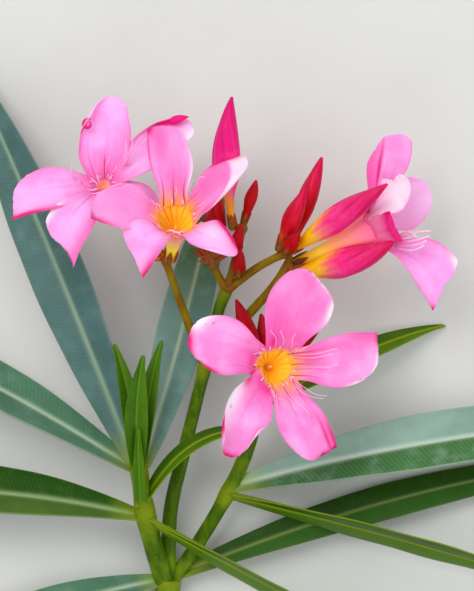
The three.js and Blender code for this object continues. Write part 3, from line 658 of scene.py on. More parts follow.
# %% The blooms in numbers
BLOOMS = {
    "flower_front": dict(
        foot=(7.2, -19.6, 15.6), throat=(9.2, -16.9, 33), facing=(0.27, 0.08, 0.96),
        mouth=4.9, gold=0.05, petals=[
            dict(tip=(19.8, 4, 30), width=16, bow=1.8, corners=(0.2, 0.35), marks=[
                ("rose", 0.55, 0.0, 1.5, 3.0, 0.4), ("rose", 0.3, 0.5, 0.5, 0.7, 0.7),
                ("pale", 0.86, -1.0, 0.24, 0.16, 1.2), ("pale", 1.0, -0.1, 0.03, 0.6, 0.8),
                ("burn", 0.985, 0.42, 0.012, 0.05, 0.8), ("burn", 0.975, 0.12, 0.012, 0.07, 0.6),
                ("burn", 0.99, -0.12, 0.012, 0.04, 0.7), ("deep", 0.1, 0.6, 0.08, 0.2, 0.8)]),
            dict(tip=(34.2, -15.2, 27), width=13, corners=(0.8, 0), guides=0.9, gold=0.15, marks=[
                ("rose", 0.9, 0.9, 0.4, 0.4, 0.8), ("rose", 0.45, 0.6, 0.4, 0.3, 0.6),
                ("pale", 1.0, -0.3, 0.03, 0.5, 1.2), ("pale", 0.9, -1.0, 0.12, 0.14, 1.2),
                ("deep", 0.2, 0.2, 0.14, 0.5, 0.45), ("deep", 1.0, 0.8, 0.03, 0.4, 0.8),
                ("burn", 0.9, -0.86, 0.02, 0.05, 0.8)]),
            dict(tip=(19.4, -39.3, 32), width=12, bow=-0.4, corners=(0.7, 0), guides=0.8, gold=0.15,
                 marks=[
                ("deep", 0.85, 0.7, 0.3, 0.08, 0.9), ("deep", 0.9, 1.0, 0.25, 0.16, 1.0),
                ("burn", 1.0, 0.88, 0.03, 0.12, 1.1), ("burn", 0.99, 0.3, 0.02, 0.12, 1.0),
                ("deep", 1.0, 0.5, 0.04, 0.5, 1.0), ("burn", 0.52, 0.5, 0.012, 0.03, 0.6),
                ("rose", 0.8, 0.95, 0.3, 0.4, 0.8), ("deep", 0.16, 0.1, 0.1, 0.5, 0.45)]),
            dict(tip=(-0.6, -38.9, 38), width=12.5, bow=-2.4, corners=(-0.5, 0.1), folds=(0, 50), marks=[
                ("pale", 0.55, -1.0, 0.26, 0.5, 1.2), ("burn", 0.55, -0.72, 0.02, 0.04, 0.6),
                ("deep", 0.22, -0.95, 0.08, 0.3, 0.9), ("deep", 0.84, -1.0, 0.1, 0.35, 1.2),
                ("deep", 0.08, 0.2, 0.08, 0.8, 0.6), ("deep", 1.0, -0.3, 0.05, 0.45, 1.4)]),
            dict(tip=(-11.7, -10.2, 38), width=14, bow=-0.6, corners=(0, 0.2), marks=[
                ("pale", 0.97, -0.7, 0.12, 0.4, 1.3), ("burn", 0.78, -0.66, 0.015, 0.04, 0.7),
                ("burn", 0.86, -0.6, 0.012, 0.04, 0.6), ("deep", 1.0, 0.2, 0.06, 0.5, 1.4),
                ("deep", 0.85, 1.0, 0.2, 0.14, 1.3), ("deep", 0.08, 0.2, 0.07, 0.7, 0.7),
                ("burn", 0.05, -0.25, 0.02, 0.06, 0.9), ("burn", 0.04, 0.5, 0.02, 0.06, 0.9)]),
        ]),
    "flower_middle": dict(
        foot=(-16.5, 8.7, 20), throat=(-14.7, 18.4, 34), facing=(0.03, 0.5, 0.87),
        mouth=4.9, gold=0.14, petals=[
            dict(tip=(-16.9, 40.9, 31), width=10.5, corners=(0.7, 0), guides=1.3, gold=0.16, marks=[
                ("deep", 1.0, 0.95, 0.12, 0.3, 1.2), ("deep", 0.8, 1.0, 0.4, 0.1, 0.8),
                ("rose", 0.8, 0.4, 0.4, 0.6, 0.8), ("rose", 0.5, -0.2, 0.6, 0.9, 0.55),
                ("pale", 0.5, -1.0, 0.4, 0.1, 0.9)]),
            dict(tip=(-34, 23.3, 39), width=13, bow=0.8, corners=(0.6, -0.2), marks=[
                ("burn", 1.0, 0.8, 0.05, 0.25, 0.6), ("deep", 0.95, 1.0, 0.25, 0.18, 1.0),
                ("rose", 0.5, 0.0, 1.0, 3.0, 0.45)]),
            dict(tip=(-24.8, 9.4, 41), width=11, arch=4, corners=(0.7, 0.7), slant=0.2, marks=[
                ("deep", 0.95, 1.0, 0.35, 0.22, 1.1), ("deep", 0.08, -0.5, 0.12, 0.6, 1.0),
                ("rose", 0.6, 0.9, 0.4, 0.3, 0.5)]),
            dict(tip=(0.2, 10, 40), width=9, arch=4, bow=-1.4, corners=(-0.4, -0.4), marks=[
                ("deep", 0.92, 0.95, 0.3, 0.3, 1.5), ("deep", 1.0, 1.0, 0.2, 0.75, 2.0),
                ("pale", 0.6, 0.2, 0.4, 0.6, 0.35)]),
            dict(tip=(2.2, 33.1, 36), width=10, bow=-0.8, corners=(-0.2, -0.3), folds=(0, 60),
                 turned=(0.62, -0.5, 4.2), guides=0.5, marks=[
                ("rose", 0.6, 0.5, 0.7, 1.2, 0.75), ("deep", 0.97, 1.0, 0.2, 0.3, 1.3),
                ("deep", 1.0, 0.8, 0.12, 0.45, 1.9), ("deep", 0.3, -0.8, 0.2, 0.2, 0.6)]),
        ]),
    "flower_left": dict(
        foot=(-18.4, 9.2, 18.2), throat=(-32.4, 27, 29), facing=(0.05, 0.45, 0.89),
        mouth=2.4, gold=0.015, blush=0.9, petals=[
            dict(tip=(-28.4, 47.9, 27), width=12.5, bow=1.8, corners=(-0.3, 0), folds=(40, 0),
                 widest=0.45, guides=0.7, marks=[
                ("deep", 0.78, 0.95, 0.06, 0.2, 1.2), ("deep", 0.14, -0.05, 0.13, 0.05, 1.2),
                ("burn", 0.09, -0.08, 0.09, 0.025, 0.7), ("burn", 0.04, 0.35, 0.04, 0.06, 0.4)]),
            dict(tip=(-54, 22.8, 32), width=12, corners=(0.9, 0.1), folds=(20, 0), marks=[
                ("deep", 0.95, 1.0, 0.45, 0.22, 1.3), ("deep", 1.0, 0.9, 0.05, 0.3, 1.0)]),
            dict(tip=(-43.1, 12.9, 35), width=12, arch=3, corners=(1.4, 0.25), slim=(0, 0.7), marks=[
                ("pale", 0.85, -1.0, 0.25, 0.2, 1.2), ("deep", 1.0, 0.8, 0.025, 0.5, 1.0),
                # The rose mark darkens the side of this lower petal beyond its fold: painted shade.
                ("rose", 0.6, 0.9, 0.7, 0.35, 0.7)]),
            dict(tip=(-21.2, 17.6, 25), width=12, corners=(0.3, 0), marks=[]),
            dict(tip=(-10.7, 41.5, 28), width=9.5, corners=(0.1, 0.2), folds=(30, 0), marks=[
                ("deep", 0.9, 0.8, 0.14, 0.4, 1.2), ("pale", 0.95, -0.7, 0.16, 0.6, 0.9)]),
        ]),
    "flower_right": dict(
        foot=(13.9, 7.6, 15.2), throat=(33.9, 16.7, 22), facing=(0.91, 0.38, 0.18),
        mouth=4.6, gold=0.02, blush=0.6, petals=[
            dict(tip=(37.5, 39.1, 24), width=11, roll=-70, corners=(0.1, 0.5), slim=(0, 0.75),
                 guides=0, marks=[
                ("deep", 0.55, 0.45, 0.4, 0.1, 1.1), ("rose", 0.5, 0.85, 0.7, 0.45, 1.0),
                ("rose", 0.5, -0.3, 0.6, 0.8, 0.4)]),
            dict(tip=(38.4, 28.6, 26), width=10, arch=3, roll=60, corners=(0.3, 0), guides=0, marks=[
                ("pale", 0.75, 0.4, 0.5, 0.8, 0.85)]),
            dict(tip=(37.1, 15.6, 33), width=8, arch=3, corners=(0.5, 0.5), guides=0, marks=[
                ("deep", 0.9, 0.0, 0.8, 3.0, 1.3)]),
            dict(tip=(50.8, 2.6, 23), width=12.5, roll=65, corners=(0.8, 1), slant=-0.14, guides=0,
                 marks=[
                ("deep", 1.0, -0.98, 0.05, 0.12, 1.2), ("pale", 1.0, 0.95, 0.12, 0.25, 1.0)]),
            dict(tip=(47.2, 25.8, 19), width=14, arch=3, corners=(0.3, 0), guides=0, marks=[
                # This broad pale mark lightens a petal that lies in the shade of the others: painted
                # light.
                ("pale", 0.5, 0.0, 1.0, 2.0, 0.25)]),
        ]),
}
print("petals:", sum(len(bloom["petals"]) for bloom in BLOOMS.values()))

# %% [markdown]
# ## The sheet of a petal
# The outline repeats the solid's: a narrow claw, a full shoulder and an end that is rounded
# or squared on each side. Finer forms are added to it: a channel along the middle, a rim that
# curls, a ripple near the rim and an edge that is a little ragged. A cloth simulation could
# bend a flat petal, but it wouldn't keep its place in the bloom, so the bends are written out.

# %% The middle line of a petal
ARCH_START = 4.16  # where a petal leaves the mouth, from the middle of the throat
CLAW_REACH = 0.75  # how far a claw reaches in over the rim of the mouth


def mouth_of(bloom):
    return np.array(bloom["throat"], float), unit(np.array(bloom["facing"], float))


def petal_line(bloom, petal):
    throat, facing = mouth_of(bloom)
    tip = np.array(petal["tip"], float)
    spoke = unit((tip - throat) - facing * np.dot(tip - throat, facing))
    rim = throat + spoke * ARCH_START
    sideways = np.cross(facing, spoke) * petal.get("bow", 0)
    arched = 0.5 * (rim + tip) + facing * petal.get("arch", 2) + sideways
    root = throat + spoke * (bloom["mouth"] - CLAW_REACH) - facing * 0.5
    return line_by(root, arched, tip)


first_petal = BLOOMS["flower_front"]["petals"][0]
print("the first petal is", round(petal_line(BLOOMS["flower_front"], first_petal).length, 1), "mm long")

# %% The outline of a petal
WIDEST = 0.68  # share of the length where a petal has its full width
CLAW_SHARE = 0.16
CLAW_WIDTH = 0.32  # in shares of the petal's full width
ROUNDING = 0.24  # how far the sides of a rounded end fall back, in shares of the length
NICK_DEPTH = 0.02  # in shares of the length


def by_side(pair, across):
    return np.where(across > 0, *pair)


def claw(along):
    return np.exp(-(along / CLAW_SHARE) ** 2)


def petal_reach(petal, along, across, seed):
    side = np.abs(across)
    corner = by_side(petal["corners"], across)
    slant = petal.get("slant", 0) * across
    reach = 1 + slant + 0.06 * corner * side - ROUNDING * (1 - corner) * side ** 2.4
    nicks = np.clip(np.sin(17 * across + 3 * seed), 0.6, 1) - 0.6
    ragged = 0.006 * np.sin(5 * across + seed) - NICK_DEPTH * nicks
    return along * (reach + ragged * along ** 3)


def petal_half_width(bloom, petal, along, across):
    corner = by_side(petal["corners"], across)
    grown = np.sin(0.5 * math.pi * np.minimum(1, along / petal.get("widest", WIDEST))) ** 1.15
    past = np.maximum(0, along - WIDEST) / (1 - WIDEST)
    grown = CLAW_WIDTH + (1 - CLAW_WIDTH) * grown
    half = 0.5 * petal["width"] * grown * (1 - 0.22 * (1 - corner) * past ** 2)
    half = half + max(0.0, 0.72 * bloom["mouth"] - 0.16 * petal["width"]) * claw(along)
    slim = by_side(petal.get("slim", (0, 0)), across)
    return half * (1 - slim * (1 - along) ** 1.2 * (along > 0))


halves = petal_half_width(BLOOMS["flower_front"], first_petal, np.array([0.0, WIDEST]), np.zeros(2))
print("its claw and its blade are", (2 * halves).round(1), "mm wide")

# %% Folds, channel, ripple and curl
FOLD_START = 0.3  # share of the half width inside which a petal isn't folded
CHANNEL_DEPTH = 0.3
RIM_RIPPLE = 0.3
RIM_CURL = 0.3


def petal_points(bloom, petal, along, across, seed):
    line = petal_line(bloom, petal)
    _, facing = mouth_of(bloom)
    share = petal_reach(petal, along, across, seed)
    roll = math.radians(petal.get("roll", 0)) * np.minimum(1, 1.4 * along)
    centre, heading, left, top = frames(line, np.minimum(1, share), facing, roll)
    centre = centre + heading * (np.maximum(0, share - 1) * line.length)[..., None]
    half = petal_half_width(bloom, petal, along, across)
    side = np.abs(across)
    folded = np.maximum(0, side - FOLD_START)
    bend = np.radians(by_side(petal.get("folds", (0, 0)), across)) * along * folded / (1 - FOLD_START)
    out = np.sign(across) * half * (side - folded + folded * np.cos(bend))
    rise = half * folded * np.sin(bend) + 0.05 * petal["width"] * along * across ** 2
    channel = -CHANNEL_DEPTH * np.exp(-(across / 0.14) ** 2) * np.sin(math.pi * np.clip(along, 0, 1))
    ripple = RIM_RIPPLE * np.sin(6 * along + 3 * np.sign(across) + seed) * side ** 3 * along
    curl = RIM_CURL * np.exp(-((1 - side) / 0.07) ** 2) * np.sin(5 * along + seed)
    rise = rise + channel + ripple + curl * along
    centre = centre - heading * (0.5 * out ** 2 / bloom["mouth"] * claw(along))[..., None]
    return centre + left * out[..., None] + top * rise[..., None]


print("a petal's sides can bend up from", FOLD_START, "of its half width outwards")

# %% Marks on a petal
def mark_values(bloom, petal, along, across):
    values = {kind: np.zeros(along.shape) for kind in ("pale", "deep", "burn", "rose")}

    def lay(kind, shape):
        values[kind] = np.maximum(values[kind], shape)

    for kind, place, side, long, wide, strength in petal["marks"]:
        lay(kind, strength * np.exp(-((along - place) / long) ** 2 - ((across - side) / wide) ** 2))
    lay("deep", 0.3 * np.exp(-((1 - np.abs(across)) / 0.05) ** 2) * along)
    lay("rose", 0.4 * np.abs(across) ** 4)
    if "turned" in petal:
        start, limit, slope = petal["turned"]
        over = limit + slope * (along - start) - across
        lay("pale", 0.75 * np.clip(0.5 + over / 0.25, 0, 1) * (along > 0.3))
    gold = petal.get("gold", bloom["gold"])
    guides = petal.get("guides", 0.15) * np.clip(np.cos(9 * across + 1.4 * along), 0, 1) ** 16
    lay("burn", guides * np.exp(-(along / (1.5 * gold)) ** 2))
    lay("deep", 0.8 * guides * np.exp(-(along / 0.25) ** 2))
    values["gold"] = np.exp(-((along + 0.02) / gold) ** 2)
    return values


print("spots placed by hand:", sum(len(petal["marks"]) for bloom in BLOOMS.values()
                                   for petal in bloom["petals"]))

# %% Growing the petals
PETAL_ROWS = 72
PETAL_COLUMNS = 57
EDGE_THICKNESS = 0.2
BODY_THICKNESS = 0.25  # what the middle of a petal has over its edge


def petal_skin(bloom, petal, seed):
    along, across = sheet_grid(PETAL_ROWS, PETAL_COLUMNS)
    along = along ** 1.15
    across = np.sin(0.5 * math.pi * across)
    upper = petal_points(bloom, petal, along, across, seed)
    body = BODY_THICKNESS * (1 - np.abs(across) ** 4) * (1 - 0.6 * along) * np.clip(along / 0.12, 0, 1)
    marks = mark_values(bloom, petal, along, across)
    points, faces, values = blade_skin(upper, EDGE_THICKNESS + body, along=along, across=across, **marks)
    values["gold"] = values["gold"] * (1 - values["under"])
    return points, faces, values


for node, bloom in BLOOMS.items():
    material = front_petal if node == "flower_front" else back_petal
    for number, petal in enumerate(bloom["petals"]):
        skin = petal_skin(bloom, petal, 1.7 * number + len(node))
        make_piece(f"{node}_petal_{number + 1}", skin, material, node)
    print(node, "petals", len(bloom["petals"]))

# %% [markdown]
# ## The funnel of a bloom
# Behind the petals the bloom is a tube. Outside it runs from a reddish foot over yellow and
# salmon to pink, and inside it is orange, with red lines that lead a bee down to the nectar.
# One turned skin holds both: it runs up the outside, over the lip and down the inside, so the
# wall is closed and has a true edge. The lines are carried numbers, fifteen to a bloom, and
# the petals repeat them over their claws. One side of the inside is painted darker, as painted
# shade. The wall is so thin that daylight comes through it, so it is given a weak glow of its
# own colour: painted light, which also brightens the tubes that lie in the shade of the buds.

# %% Funnel finish
def funnel_surface():
    material, tree = new_material("nectar_throat_tissue")
    inside = tones_by(tree, "depth", [(0.0, "#FFAE3C"), (0.03, "#FFB646"), (0.2, "#FFC834"),
                                      (0.6, "#FFBA26"), (1.0, "#F4A81C")])
    for label, paint in (("shady", "#D08414"), ("blush", "#FFB2AE"), ("stripe", "#B23A0E")):
        inside = tint(tree, inside, paint, label)
    outside = tones_by(tree, "along", [(0.0, "#D8481A"), (0.1, "#FFB80A"), (0.34, "#FFE03C"),
                                       (0.56, "#FFB284"), (0.78, "#FF9698"), (0.97, "#F4709E")])
    clouds = soft_noise(tree, 3.0, 3.0, (1.0, 0.5, 1.0))
    outside = tint(tree, outside, "#FF8A6E", clouds, 0.5, 0.75, 0.3)
    tone = tint(tree, outside, inside, "within")
    # The weak emission in the tissue's own colour is painted light.
    optics = {"Roughness": 0.5, "IOR": 1.4, "Specular IOR Level": 0.3, "Subsurface Weight": 0.3,
              "Subsurface Scale": 0.002, "Emission Color": tone, "Emission Strength": 0.16}
    finish_material(tree, tone, optics, clouds, 0.15, 0.5)
    return material


throat_tissue = funnel_surface()
print("funnel finish:", throat_tissue.name)

# %% Turning the funnels
PICTURE_TOP = np.array([0.0, 1.0, 0.0])
FUNNEL_SIDES = 96
CLIMB_ROWS = 50
THROAT_ROWS = 40
TUBE_RADIUS = 1.3
THROAT_DEPTH = 1.35  # in shares of the mouth's radius
LIP_DROP = 0.5
GUIDE_LINES = 15


def tube_line(bloom):
    foot = np.array(bloom["foot"], float)
    throat, facing = mouth_of(bloom)
    bend = throat - facing * 0.5 * np.linalg.norm(throat - foot)
    return line_by(foot, 0.25 * foot + 0.5 * bend + 0.25 * throat, throat)


def funnel_values(bloom, climb, down, angle):
    outer, inner = np.zeros_like(climb), np.ones_like(down)
    deep = np.concatenate([outer, down])
    within = np.concatenate([outer, inner])
    lines = np.clip(np.cos(GUIDE_LINES * angle + math.pi), 0, 1) ** 10
    lines = lines * np.clip((0.8 - deep) / 0.3, 0, 1) * (0.62 + 0.38 * np.sin(angle - 0.6))
    # One side of the inside is darker by a fixed amount: painted shade.
    shady = (0.35 - 0.35 * np.cos(angle - 0.4)) * within
    return dict(along=np.concatenate([climb, inner]), depth=deep, within=within, stripe=0.9 * lines,
                shady=shady, blush=bloom.get("blush", 0) * within)


def funnel_skin(bloom):
    throat, facing = mouth_of(bloom)
    mouth = bloom["mouth"]
    angle = np.linspace(0, 2 * math.pi, FUNNEL_SIDES, endpoint=False)
    climb = np.linspace(0, 1, CLIMB_ROWS)[:, None]
    down = np.linspace(0, 1, THROAT_ROWS)[:, None]
    centre, _, left, top = frames(tube_line(bloom), climb, PICTURE_TOP)
    around = left * np.cos(angle)[:, None] + top * np.sin(angle)[:, None]
    flare = (TUBE_RADIUS + (mouth - TUBE_RADIUS) * climb ** 2.2) * (1 + 0.04 * np.cos(5 * angle) * climb)
    bore = (0.4 + (mouth - 0.65) * (1 - down) ** 1.1) * (1 + 0.04 * np.cos(10 * angle))
    outside = centre - facing * LIP_DROP * climb[..., None] + around * flare[..., None]
    sunk = (LIP_DROP + down * THROAT_DEPTH * mouth)[..., None]
    inside = throat - facing * sunk + around[-1] * bore[..., None]
    points = np.concatenate([outside, inside])
    values = {label: np.broadcast_to(numbers, points.shape[:2]).ravel()
              for label, numbers in funnel_values(bloom, climb, down, angle).items()}
    return points.reshape(-1, 3), tube_faces(len(points), FUNNEL_SIDES), values


for node, bloom in BLOOMS.items():
    piece = make_piece(node + "_funnel", funnel_skin(bloom), throat_tissue, node)
    print(piece.name, "faces", len(piece.data.polygons))

# %% [markdown]
# ## The fringed crown in the mouth
# At the mouth of the tube each petal carries a small scale that is cut into long pale
# threads. They lie over the petal's claw like loose cotton. Hair curves would be lost when
# the model is exported, so each thread is a thin closed limb that follows the petal's own
# surface a little above it and curls up at its end. The scales themselves are tiny blades.

# %% A small pointed scale
SCALE_ROWS = 14
SCALE_COLUMNS = 7
SCALE_THICKNESS = 0.22


def scale_skin(foot, middle, tip, width, lean):
    share, across = sheet_grid(SCALE_ROWS, SCALE_COLUMNS)
    centre, _, left, top = frames(line_by(foot, middle, tip), share, lean)
    half = 0.5 * width * np.sin(math.pi * (0.12 + 0.88 * share) ** 0.8) + 0.06
    crown = 0.25 * half * (1 - across ** 2)
    upper = centre + left * (across * half)[..., None] + top * crown[..., None]
    return blade_skin(upper, SCALE_THICKNESS * np.ones_like(share), along=share)


print("faces of one scale:", len(scale_skin((0, 0, 0), (0, 2, 1), (0, 4, 0), 1.5, UP)[1]))

# %% [markdown]
# ## Rolled rims
# Two petals of the left bloom have a rim that dried and rolled up into a magenta curl. One is
# a thin limb on a spiral, the other a small flap that is folded over the petal's end. Both
# are joined into one piece and take the petal's own finish, with its deep tone at full
# strength.

# %% Rolled rims of the left bloom
CURL_POINTS = 40


def curl_skin(centre, start, end, radius, thick):
    def radius_at(share, angle):
        return thick * np.sin(math.pi * (0.1 + 0.8 * share))

    turn = np.radians(np.linspace(start, end, CURL_POINTS))
    size = radius * np.linspace(1.5, 0.7, CURL_POINTS)
    path = np.stack([np.cos(turn) * size, np.sin(turn) * size, 0.3 * np.cos(turn)], -1)
    points, faces, values = limb_skin(Line(path + np.array(centre, float)), radius_at, 14, 44)
    return points, faces, {**values, "deep": np.ones(len(points))}


def flap_skin(foot, middle, tip, width):
    points, faces, values = scale_skin(foot, middle, tip, width, UP)
    return points, faces, {**values, "deep": np.ones(len(points))}


rolled = join([curl_skin((-36.0, 41.4, 31.2), 60, 420, 0.85, 0.42),
               flap_skin((-16.4, 41.9, 28.8), (-13.8, 42.8, 30.0), (-11.6, 43.2, 29.4), 1.9)])
piece = make_piece("flower_left_rolled_rims", rolled, back_petal, "flower_left")
print(piece.name, "faces", len(piece.data.polygons))

# %% Fringe finish
def thread_surface(name, stops):
    material, tree = new_material(name)
    tone = tones_by(tree, "along", stops)
    tone = tint(tree, tone, "#F49AC8", soft_noise(tree, 0.8, 2.0), 0.5, 0.75, 0.4)
    finish_material(tree, tone, {"Roughness": 0.5, "IOR": 1.4, "Subsurface Weight": 0.2,
                                 "Subsurface Scale": 0.001})
    return material


crown_threads = thread_surface("pale_pink_crown_threads",
                               [(0.0, "#F67CC4"), (0.4, "#FBA6DC"), (1.0, "#FFD6EC")])
anther_tissue = thread_surface("creamy_anther_cone",
                               [(0.0, "#EEA828"), (0.6, "#FFCC50"), (1.0, "#FFE6A8")])
print("fringe finishes:", crown_threads.name, anther_tissue.name)

# %% Laying the threads
# Each row: petal number, side at the claw, side at the end, length in mm, lift in mm.
FRONT_THREADS = [
    (0, 0.5, 0.75, 4, 0.6), (0, 0.1, 0.3, 4, 1.0), (0, -0.5, -0.2, 4, 1.2),
    (1, 0.6, 0.35, 10, 0.9), (1, 0.4, 0.15, 9, 0.8), (1, 0.8, 0.9, 4, 1.2), (1, -0.3, -0.1, 10, 0.4),
    (2, 0.5, 1.2, 8, 1.6), (2, 0.0, 0.3, 9, 0.8), (2, -0.3, -0.1, 7, 0.9), (2, 0.7, 1.6, 8, 2.2),
    (3, 0.8, 1.2, 4, 1.6), (3, 0.6, 1.0, 3, 1.2), (3, 0.4, 0.7, 2, 1.2), (4, -0.4, -0.2, 2, 0.6),
]


THREAD_SIDES = 8
THREAD_ROWS = 30
THREAD_RADIUS = 0.13
THREAD_TAPER = 0.07
THREAD_HEIGHT = 0.3  # of a thread's axis above the petal where it starts


def thread_skin(bloom, petal, start_side, end_side, length, lift, twist):
    def radius_at(share, angle):
        return THREAD_RADIUS - THREAD_TAPER * share

    _, facing = mouth_of(bloom)
    run = np.linspace(0, 1, 26)
    along = np.clip(0.04 + run * length / petal_line(bloom, petal).length, 0, 1)
    across = start_side + (end_side - start_side) * run ** 1.4 + 0.12 * np.sin(5 * run + twist) * run
    surface = petal_points(bloom, petal, along, across, 0.0)
    height = THREAD_HEIGHT + lift * np.sin(0.9 * math.pi * run) + 1.0 * run ** 5
    path = Line(surface + facing * height[:, None])
    return limb_skin(path, radius_at, THREAD_SIDES, THREAD_ROWS, lean=facing)


def scattered_threads(rng, petals):
    rows = []
    for number in range(petals):
        side = rng.uniform(-0.6, 0.6)
        end_side = side * rng.uniform(0.8, 1.6)
        rows.append((number, side, end_side, rng.uniform(2, 4), rng.uniform(0.6, 1.6)))
    return rows


print("threads laid over the front bloom:", len(FRONT_THREADS))

# %% Threads that stand free
# Each row: foot, middle, tip and radius at the foot.
FREE_THREADS = {
    "flower_left": [
        ((-38.6, 27.6, 29.6), (-39.8, 29.4, 31.5), (-39.9, 31.5, 32.5), 0.16),
        ((-37.1, 26.8, 29.6), (-38.2, 28.8, 31.5), (-37.6, 30.8, 32.5), 0.16),
        ((-27.9, 30.8, 29.4), (-26.9, 33.9, 31.5), (-26.8, 37.2, 32.8), 0.16),
        ((-27.2, 31.2, 29.4), (-25.8, 34.8, 31.5), (-25.2, 37.3, 32.8), 0.15),
        ((-26.8, 31.4, 29.4), (-24.7, 35.9, 31.5), (-22.7, 38.5, 32.8), 0.15),
        ((-26.4, 31.4, 29.4), (-24.1, 35.4, 31.5), (-21.7, 37.8, 32.8), 0.14),
        ((-36.4, 25.8, 29.8), (-35.2, 25.4, 31.0), (-33.8, 25.8, 31.0), 0.26),
        ((-35.8, 24.8, 29.8), (-34.6, 24.5, 31.2), (-33.2, 25.0, 31.2), 0.26),
        ((-35.4, 28.4, 29.4), (-34.6, 27.8, 30.8), (-33.6, 26.8, 30.6), 0.26),
        ((-34.0, 29.4, 29.2), (-33.6, 28.2, 30.6), (-33.0, 27.2, 30.4), 0.26),
    ],
    "flower_middle": [
        ((-11.3, 23.6, 35.6), (-11.2, 26.0, 37.5), (-10.3, 27.8, 38.4), 0.15),
        ((-9.7, 25.4, 36.6), (-9.1, 28.0, 38.6), (-7.8, 28.2, 39.4), 0.14),
        ((-18.9, 20.8, 36), (-19.6, 22.0, 37.6), (-20.5, 22.9, 38), 0.16),
        ((-18.2, 20.2, 36), (-18.6, 21.4, 37.6), (-19.4, 22.0, 38), 0.16),
        ((-16.9, 15.2, 34.8), (-15.9, 15.6, 36), (-14.8, 15.2, 36.2), 0.4),
        ((-15.6, 14.6, 35.2), (-14.6, 15.2, 36.4), (-13.6, 14.6, 36.6), 0.4),
        ((-14.4, 14.6, 35.6), (-13.6, 15.2, 36.4), (-12.9, 15.4, 36.4), 0.3),
    ],
    "flower_right": [
        ((38.6, 13.4, 23.6), (43.2, 15.2, 26), (47.0, 15.6, 26), 0.42),
        ((38.8, 12.8, 24), (43.0, 13.4, 26.4), (46.7, 14.5, 26.4), 0.45),
        ((38.6, 12.4, 24), (42.8, 12.2, 26.4), (46.0, 13.4, 26.4), 0.42),
        ((38.4, 12.0, 24), (42.2, 11.0, 26), (45.4, 12.3, 26.4), 0.4),
        ((38.8, 13.8, 23.6), (41.4, 15.4, 25.6), (43.6, 14.0, 26.6), 0.36),
    ],
}


FREE_LEAN = np.array([0.0, 1.0, 0.3])
FINGERS = 3  # short scales on each claw


def free_thread_skin(foot, middle, tip, thick):
    def radius_at(share, angle):
        return thick * (1 - 0.55 * share)

    return limb_skin(line_by(foot, middle, tip), radius_at, THREAD_SIDES, THREAD_ROWS, lean=FREE_LEAN)


def finger_skins(bloom, petal, rng):
    _, facing = mouth_of(bloom)
    skins = []
    for _ in range(FINGERS):
        side = rng.uniform(-0.9, 0.9)
        foot, out = petal_points(bloom, petal, np.array([0.01, 0.2]), np.array([side, side]), 0.0)
        outward = unit(out - foot)
        reach = rng.uniform(0.9, 1.8)
        middle = foot + (0.3 * facing + 0.3 * outward) * reach
        tip = foot + (0.3 * facing + 0.9 * outward) * reach
        skins.append(scale_skin(foot - facing * 0.2, middle, tip, 0.35, facing - outward))
    return skins


print("free threads:", sum(len(rows) for rows in FREE_THREADS.values()))

# %% [markdown]
# ## Anthers
# Deep in the throat the five anthers lean together into a small cream cone. Only its tip
# catches light, so one ribbed limb that tapers to a point is enough.

# %% Crowns and anther cones
def anther_skin(bloom):
    throat, facing = mouth_of(bloom)
    mouth = bloom["mouth"]
    depth = THROAT_DEPTH * mouth
    path = Line([throat - facing * (depth + 0.3), throat - facing * 0.5 * depth])

    def radius_at(share, angle):
        ribs = 1 + 0.06 * np.cos(5 * angle + 4 * share)
        return (0.13 * mouth * (1 - share) ** 0.7 + 0.12) * ribs

    return limb_skin(path, radius_at, 40, 30, lean=PICTURE_TOP)


rng = random.Random(11)
for node, bloom in BLOOMS.items():
    make_piece(node + "_anther_cone", anther_skin(bloom), anther_tissue, node)
    rows = FRONT_THREADS if node == "flower_front" else scattered_threads(rng, 5)
    skins = [thread_skin(bloom, bloom["petals"][number], *row, rng.uniform(0, 6))
             for number, *row in rows]
    skins += [free_thread_skin(*row) for row in FREE_THREADS.get(node, [])]
    for petal in bloom["petals"]:
        skins += finger_skins(bloom, petal, rng)
    piece = make_piece(node + "_crown_threads", join(skins), crown_threads, node)
    print(piece.name, "threads and fingers", len(skins))

# %% [markdown]
# ## Rolled buds
# A closed bud is five petals wound round each other, so its skin is five overlapping flaps
# with seams that spiral up to a point. A flap's edge stands about an eighth of the radius
# proud. That step is modelled, not painted, because it also shapes the outline near the tip.
# Darker streaks follow the winding, broken up by a noise. The large buds are crimson or
# magenta, the longest on a yellow foot with an uneven border, and the small ones are dark red.

# %% Bud finish
def bud_surface(name, stops, light, seam):
    material, tree = new_material(name)
    clouds = soft_noise(tree, 5.0, 3.0)
    fibres = soft_noise(tree, 1.0, 3.0, (1.0, 0.3, 1.0))
    tone = tones_by(tree, "ripeness", stops)
    tone = tint(tree, tone, light, clouds, 0.52, 0.75, 0.35)
    tone = tint(tree, tone, seam, fibres, 0.5, 0.75, 0.2)
    streak = add(tree, "ShaderNodeAttribute", attribute_name="streak").outputs["Fac"]
    broken = add(tree, "ShaderNodeMapRange", {"Value": fibres, "From Min": 0.35, "From Max": 0.6,
                                              "To Min": 0.3}).outputs["Result"]
    lines = add(tree, "ShaderNodeMath", {0: streak, 1: broken}, operation="MULTIPLY")
    for mask in (lines.outputs[0], "seam"):
        tone = tint(tree, tone, seam, mask)
    optics = {"Roughness": 0.42, "IOR": 1.42, "Specular IOR Level": 0.2,
              "Subsurface Weight": 0.08, "Subsurface Scale": 0.0015}
    finish_material(tree, tone, optics, fibres, 0.12)
    return material


